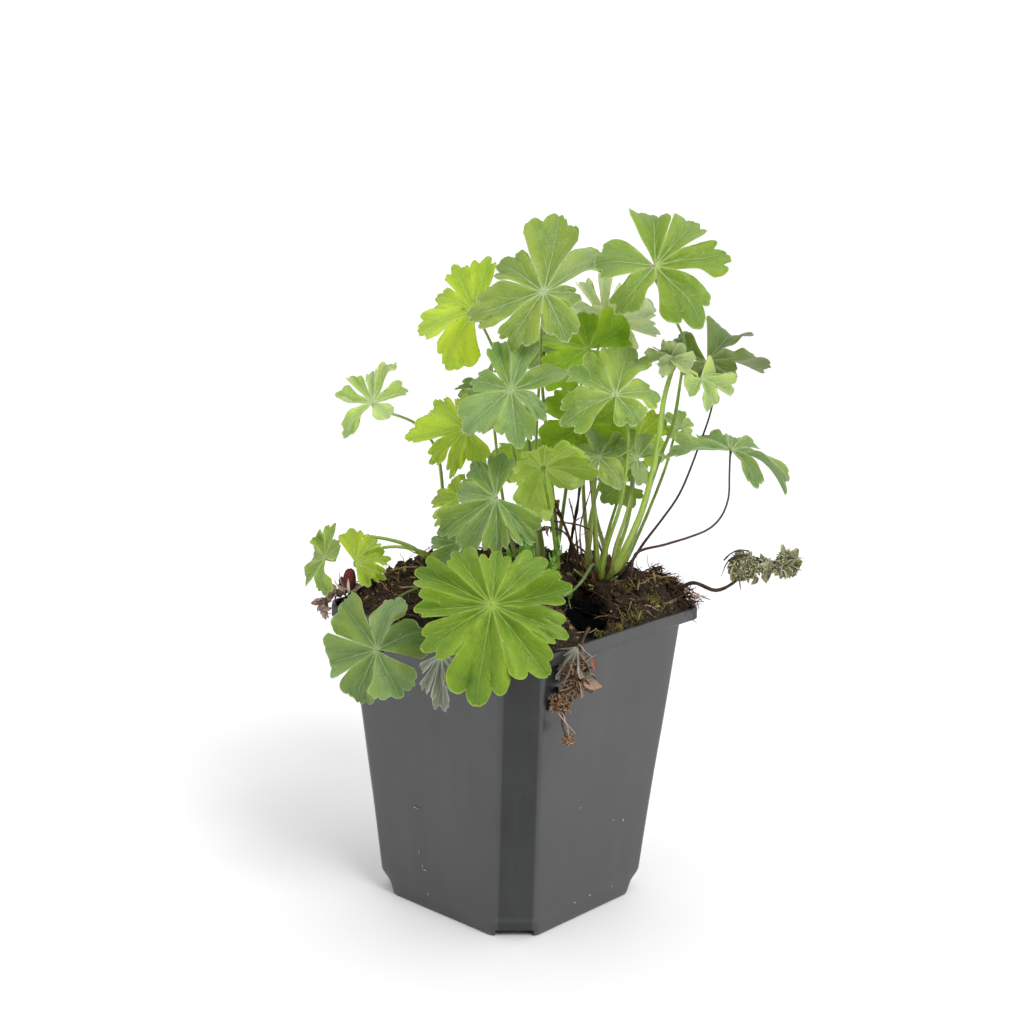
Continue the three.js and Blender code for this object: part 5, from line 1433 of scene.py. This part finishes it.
def make_withered_front(materials):
    """The rusty leaf on the pot's front, with a mauve flap, straws and a red tip."""
    shape, name = Shape(), "withered_leaf_front"
    add_run(shape, FRONT_RUN, (0.62, 0.32), 7, 0, 0.2)
    for number, blade in enumerate(ROLLED[name]):
        add_blade(shape, blade, 80 + number, 1 if number else 2)
    for start, ray, length in (((15, -52, 81), (0.3, 0, -1), 9),
                               ((13.5, -52, 81), (0.45, 0, -1), 9),
                               ((19.5, -49.5, 102), (0.9, -0.55, -0.75), 6)):
        add_fibre(shape, start, ray, length, 0.22, 0.08, 3, 0.9, 5)
    add_scale(shape, (21, -52, 91), (1, -0.15, -0.35), (0, 0, 1), 6.5, 3.4, 35, 0.3, 3, 0.3,
              crumple=0.3)
    add_scale(shape, (23.6, -52.6, 98.4), (0.3, -0.2, -1), (1, 0, 0), 4.2, 1.5, 30, 0.3, 4, 0.6)
    add_frills(shape, name)
    fix(shape.build(name + "_full", materials), "dry_brown", name)


def make_bud(materials):
    """The dark red bud in its pale bracts."""
    shape = Shape()
    foot, up = np.array([-54.0, -6.0, 105.2]), (0, 0, 1)
    add_run(shape, [(-48, -2, 97), (-51, -4, 102), (-54, -6, 106)], (0.8, 0.7), 8, 1)
    for i in range(7):
        out = outwards(i * 2.4)
        add_scale(shape, foot + out * 1.1, unit(out * 0.62 + up), np.cross(out, up),
                  RANDOM.uniform(6.8, 8), 3.9, 75, -0.7, 0, RANDOM.random(), 0.55, 0.2, 10, 7)
    for i in range(6):
        out = outwards(0.4 + i * 1.07)
        add_scale(shape, foot + out * 1.7 - (0, 0, 0.5), unit(out * 1.1 + up), np.cross(out, up),
                  RANDOM.uniform(5, 8.5), RANDOM.uniform(0.5, 1.0), RANDOM.uniform(-20, 75), 0.5,
                  1, RANDOM.random(), crumple=0.25)
        add_fibre(shape, foot + out, out + (0, 0, 1.1), RANDOM.uniform(5, 9), 0.16, 0.3, 1, 0.9)
    fix(shape.build("red_bud_full", materials), "red_brown", "red_bud")


def make_litter(materials):
    """The crumpled litter that the bud stands in."""
    shape = Shape()
    add_run(shape, [(-48, 3, 99), (-53, 1, 102.8), (-58, -1, 103.1), (-62.3, -2, 101),
                    (-62.8, -2.5, 97)], (0.8, 0.6), 7, 0, 0.3)
    for centre, size, count in (((-55.5, 0, 103.9), (5, 3, 1.3), 34),
                                ((-63, -2.5, 98.5), (0.9, 2.6, 3.2), 18),
                                ((-59.5, -1, 102.8), (3, 2.4, 1.2), 14)):
        for _ in range(count):
            add_scale(shape, centre + RANDOM.uniform(-1, 1, 3) * size, random_ray(), random_ray(),
                      RANDOM.uniform(1.8, 4.2), RANDOM.uniform(1, 2.6), RANDOM.uniform(-80, 80),
                      0.3, 0, RANDOM.random(), crumple=0.5)
    fix(shape.build("dry_litter_full", materials), "dry_brown", "dry_litter")


def make_dry_stems(materials):
    """The dried stalks, each with twigs that lean on it and scraps at its top."""
    for name, (points, radii) in DRY_STEMS.items():
        shape = Shape()
        line = add_run(shape, points, radii, 8, 0, 0.25)
        for start, middle, end, radius in TWIGS[name]:
            twig = add_run(shape, [start, middle, end], (radius, 0.6 * radius), 6, 1, 0.3)
            for _ in range(2):
                at = twig[RANDOM.integers(2, len(twig) - 1)]
                add_fibre(shape, at, random_ray(0.3), RANDOM.uniform(3, 6), 0.2, 0.15, 0,
                          RANDOM.random(), 5)
        for _ in range(5):
            add_scale(shape, line[-1 - RANDOM.integers(0, 3)], random_ray(), random_ray(),
                      RANDOM.uniform(2, 4), 1.8, 70, 0.4, 1, RANDOM.random(), crumple=0.4)
        fix(shape.build(name + "_full", materials), "dry_brown", name)


# ---------------------------------------------------------------- camera, light and floor

def make_camera():
    back = Vector(direction(CAMERA_AZIMUTH, CAMERA_ELEVATION))
    right = Vector(outwards(math.radians(CAMERA_AZIMUTH)))
    up = back.cross(right)
    roll = math.radians(CAMERA_ROLL)
    x = math.cos(roll) * right + math.sin(roll) * up
    y = -math.sin(roll) * right + math.cos(roll) * up
    data = bpy.data.cameras.new("camera")
    data.lens, data.sensor_width = LENS, SENSOR
    camera = bpy.data.objects.new("camera", data)
    matrix = Matrix((x, y, back)).transposed().to_4x4()
    matrix.translation = Vector(CAMERA_PLACE) * MM
    camera.matrix_world = matrix
    bpy.context.scene.collection.objects.link(camera)
    bpy.context.scene.camera = camera


def make_sun():
    data = bpy.data.lights.new("key", "SUN")
    data.energy, data.angle = SUN_STRENGTH, math.radians(SUN_SOFTNESS)
    sun = bpy.data.objects.new("key", data)
    sun.rotation_mode = "QUATERNION"
    ray = Vector(-direction(CAMERA_AZIMUTH + SUN_ASIDE, SUN_ELEVATION))
    sun.rotation_quaternion = ray.to_track_quat("-Z", "Y")
    bpy.context.scene.collection.objects.link(sun)


def make_world():
    """A white tent: a little less light from above, more from the right, and a dark patch
    where the camera stands."""
    world = bpy.data.worlds.new("studio")
    bpy.context.scene.world = world
    t = Tree(world, "ShaderNodeOutputWorld")
    ray = t.add("ShaderNodeTexCoord").outputs["Generated"]

    def towards(azimuth, elevation):
        return t.add("ShaderNodeVectorMath", {0: ray, 1: direction(azimuth, elevation)},
                     operation="DOT_PRODUCT").outputs["Value"]

    level = t.times(t.ramp(t.split(ray)[2], 0, 1, 1.16, 0.98, "LINEAR"),
                    t.ramp(towards(CAMERA_AZIMUTH, 3), 0.6, 0.97, 1, 0))
    level = t.times(level, t.ramp(towards(CAMERA_AZIMUTH + 85, 5), 0.4, 0.95, 1, 1.3))
    t.finish(t.add("ShaderNodeBackground", {0: (1, 1, 1, 1), 1: level}).outputs[0])


def make_stage():
    t = new_tree("studio_floor")
    skin = t.skin((0.85, 0.85, 0.855, 1), 0.6, {"Specular IOR Level": 0.2})
    shape, edge = Shape(), STAGE_HALF
    shape.add([(-edge, -edge, 0), (edge, -edge, 0), (edge, edge, 0), (-edge, edge, 0)],
              [(0, 1, 2, 3)])
    floor = shape.build("studio_floor", [t.finish(skin)], plant=False)
    floor.location.z = -STAGE_DROP
    bpy.context.scene.view_settings.view_transform = "Standard"
    bpy.context.scene.view_settings.look = "None"


# ---------------------------------------------------------------- the object

make_camera()
make_world()
make_stage()
make_sun()
make_pot(pot_material())
make_scratches(stuff("scratch"))
make_peat(stuff("peat"))
make_crumbs(stuffs("peat", "grit", "chip"))
make_fibres(stuffs("fibre", "straw", "root"))
make_moss(stuffs("moss", "seedling"))
make_crowns(stuffs("bark", "scale", "stub"))
for number, entry in enumerate(LEAVES):
    make_leaf(entry, number + 1)
make_shoot([stalk_material("#a3bf55", "#a9b95a"), leaf_material("young_leaf", YOUNG)])
make_withered_right([stuff("twig"), leaf_material("dried_leaf", DRIED)])
make_withered_front([stuff("twig"), leaf_material("rusty_leaf", RUST),
                     leaf_material("mauve_leaf", MAUVE), *stuffs("dried_flap", "red_tip")])
make_bud(stuffs("crimson", "bract"))
make_litter(stuffs("litter"))
make_dry_stems(stuffs("twig", "tan_twig"))
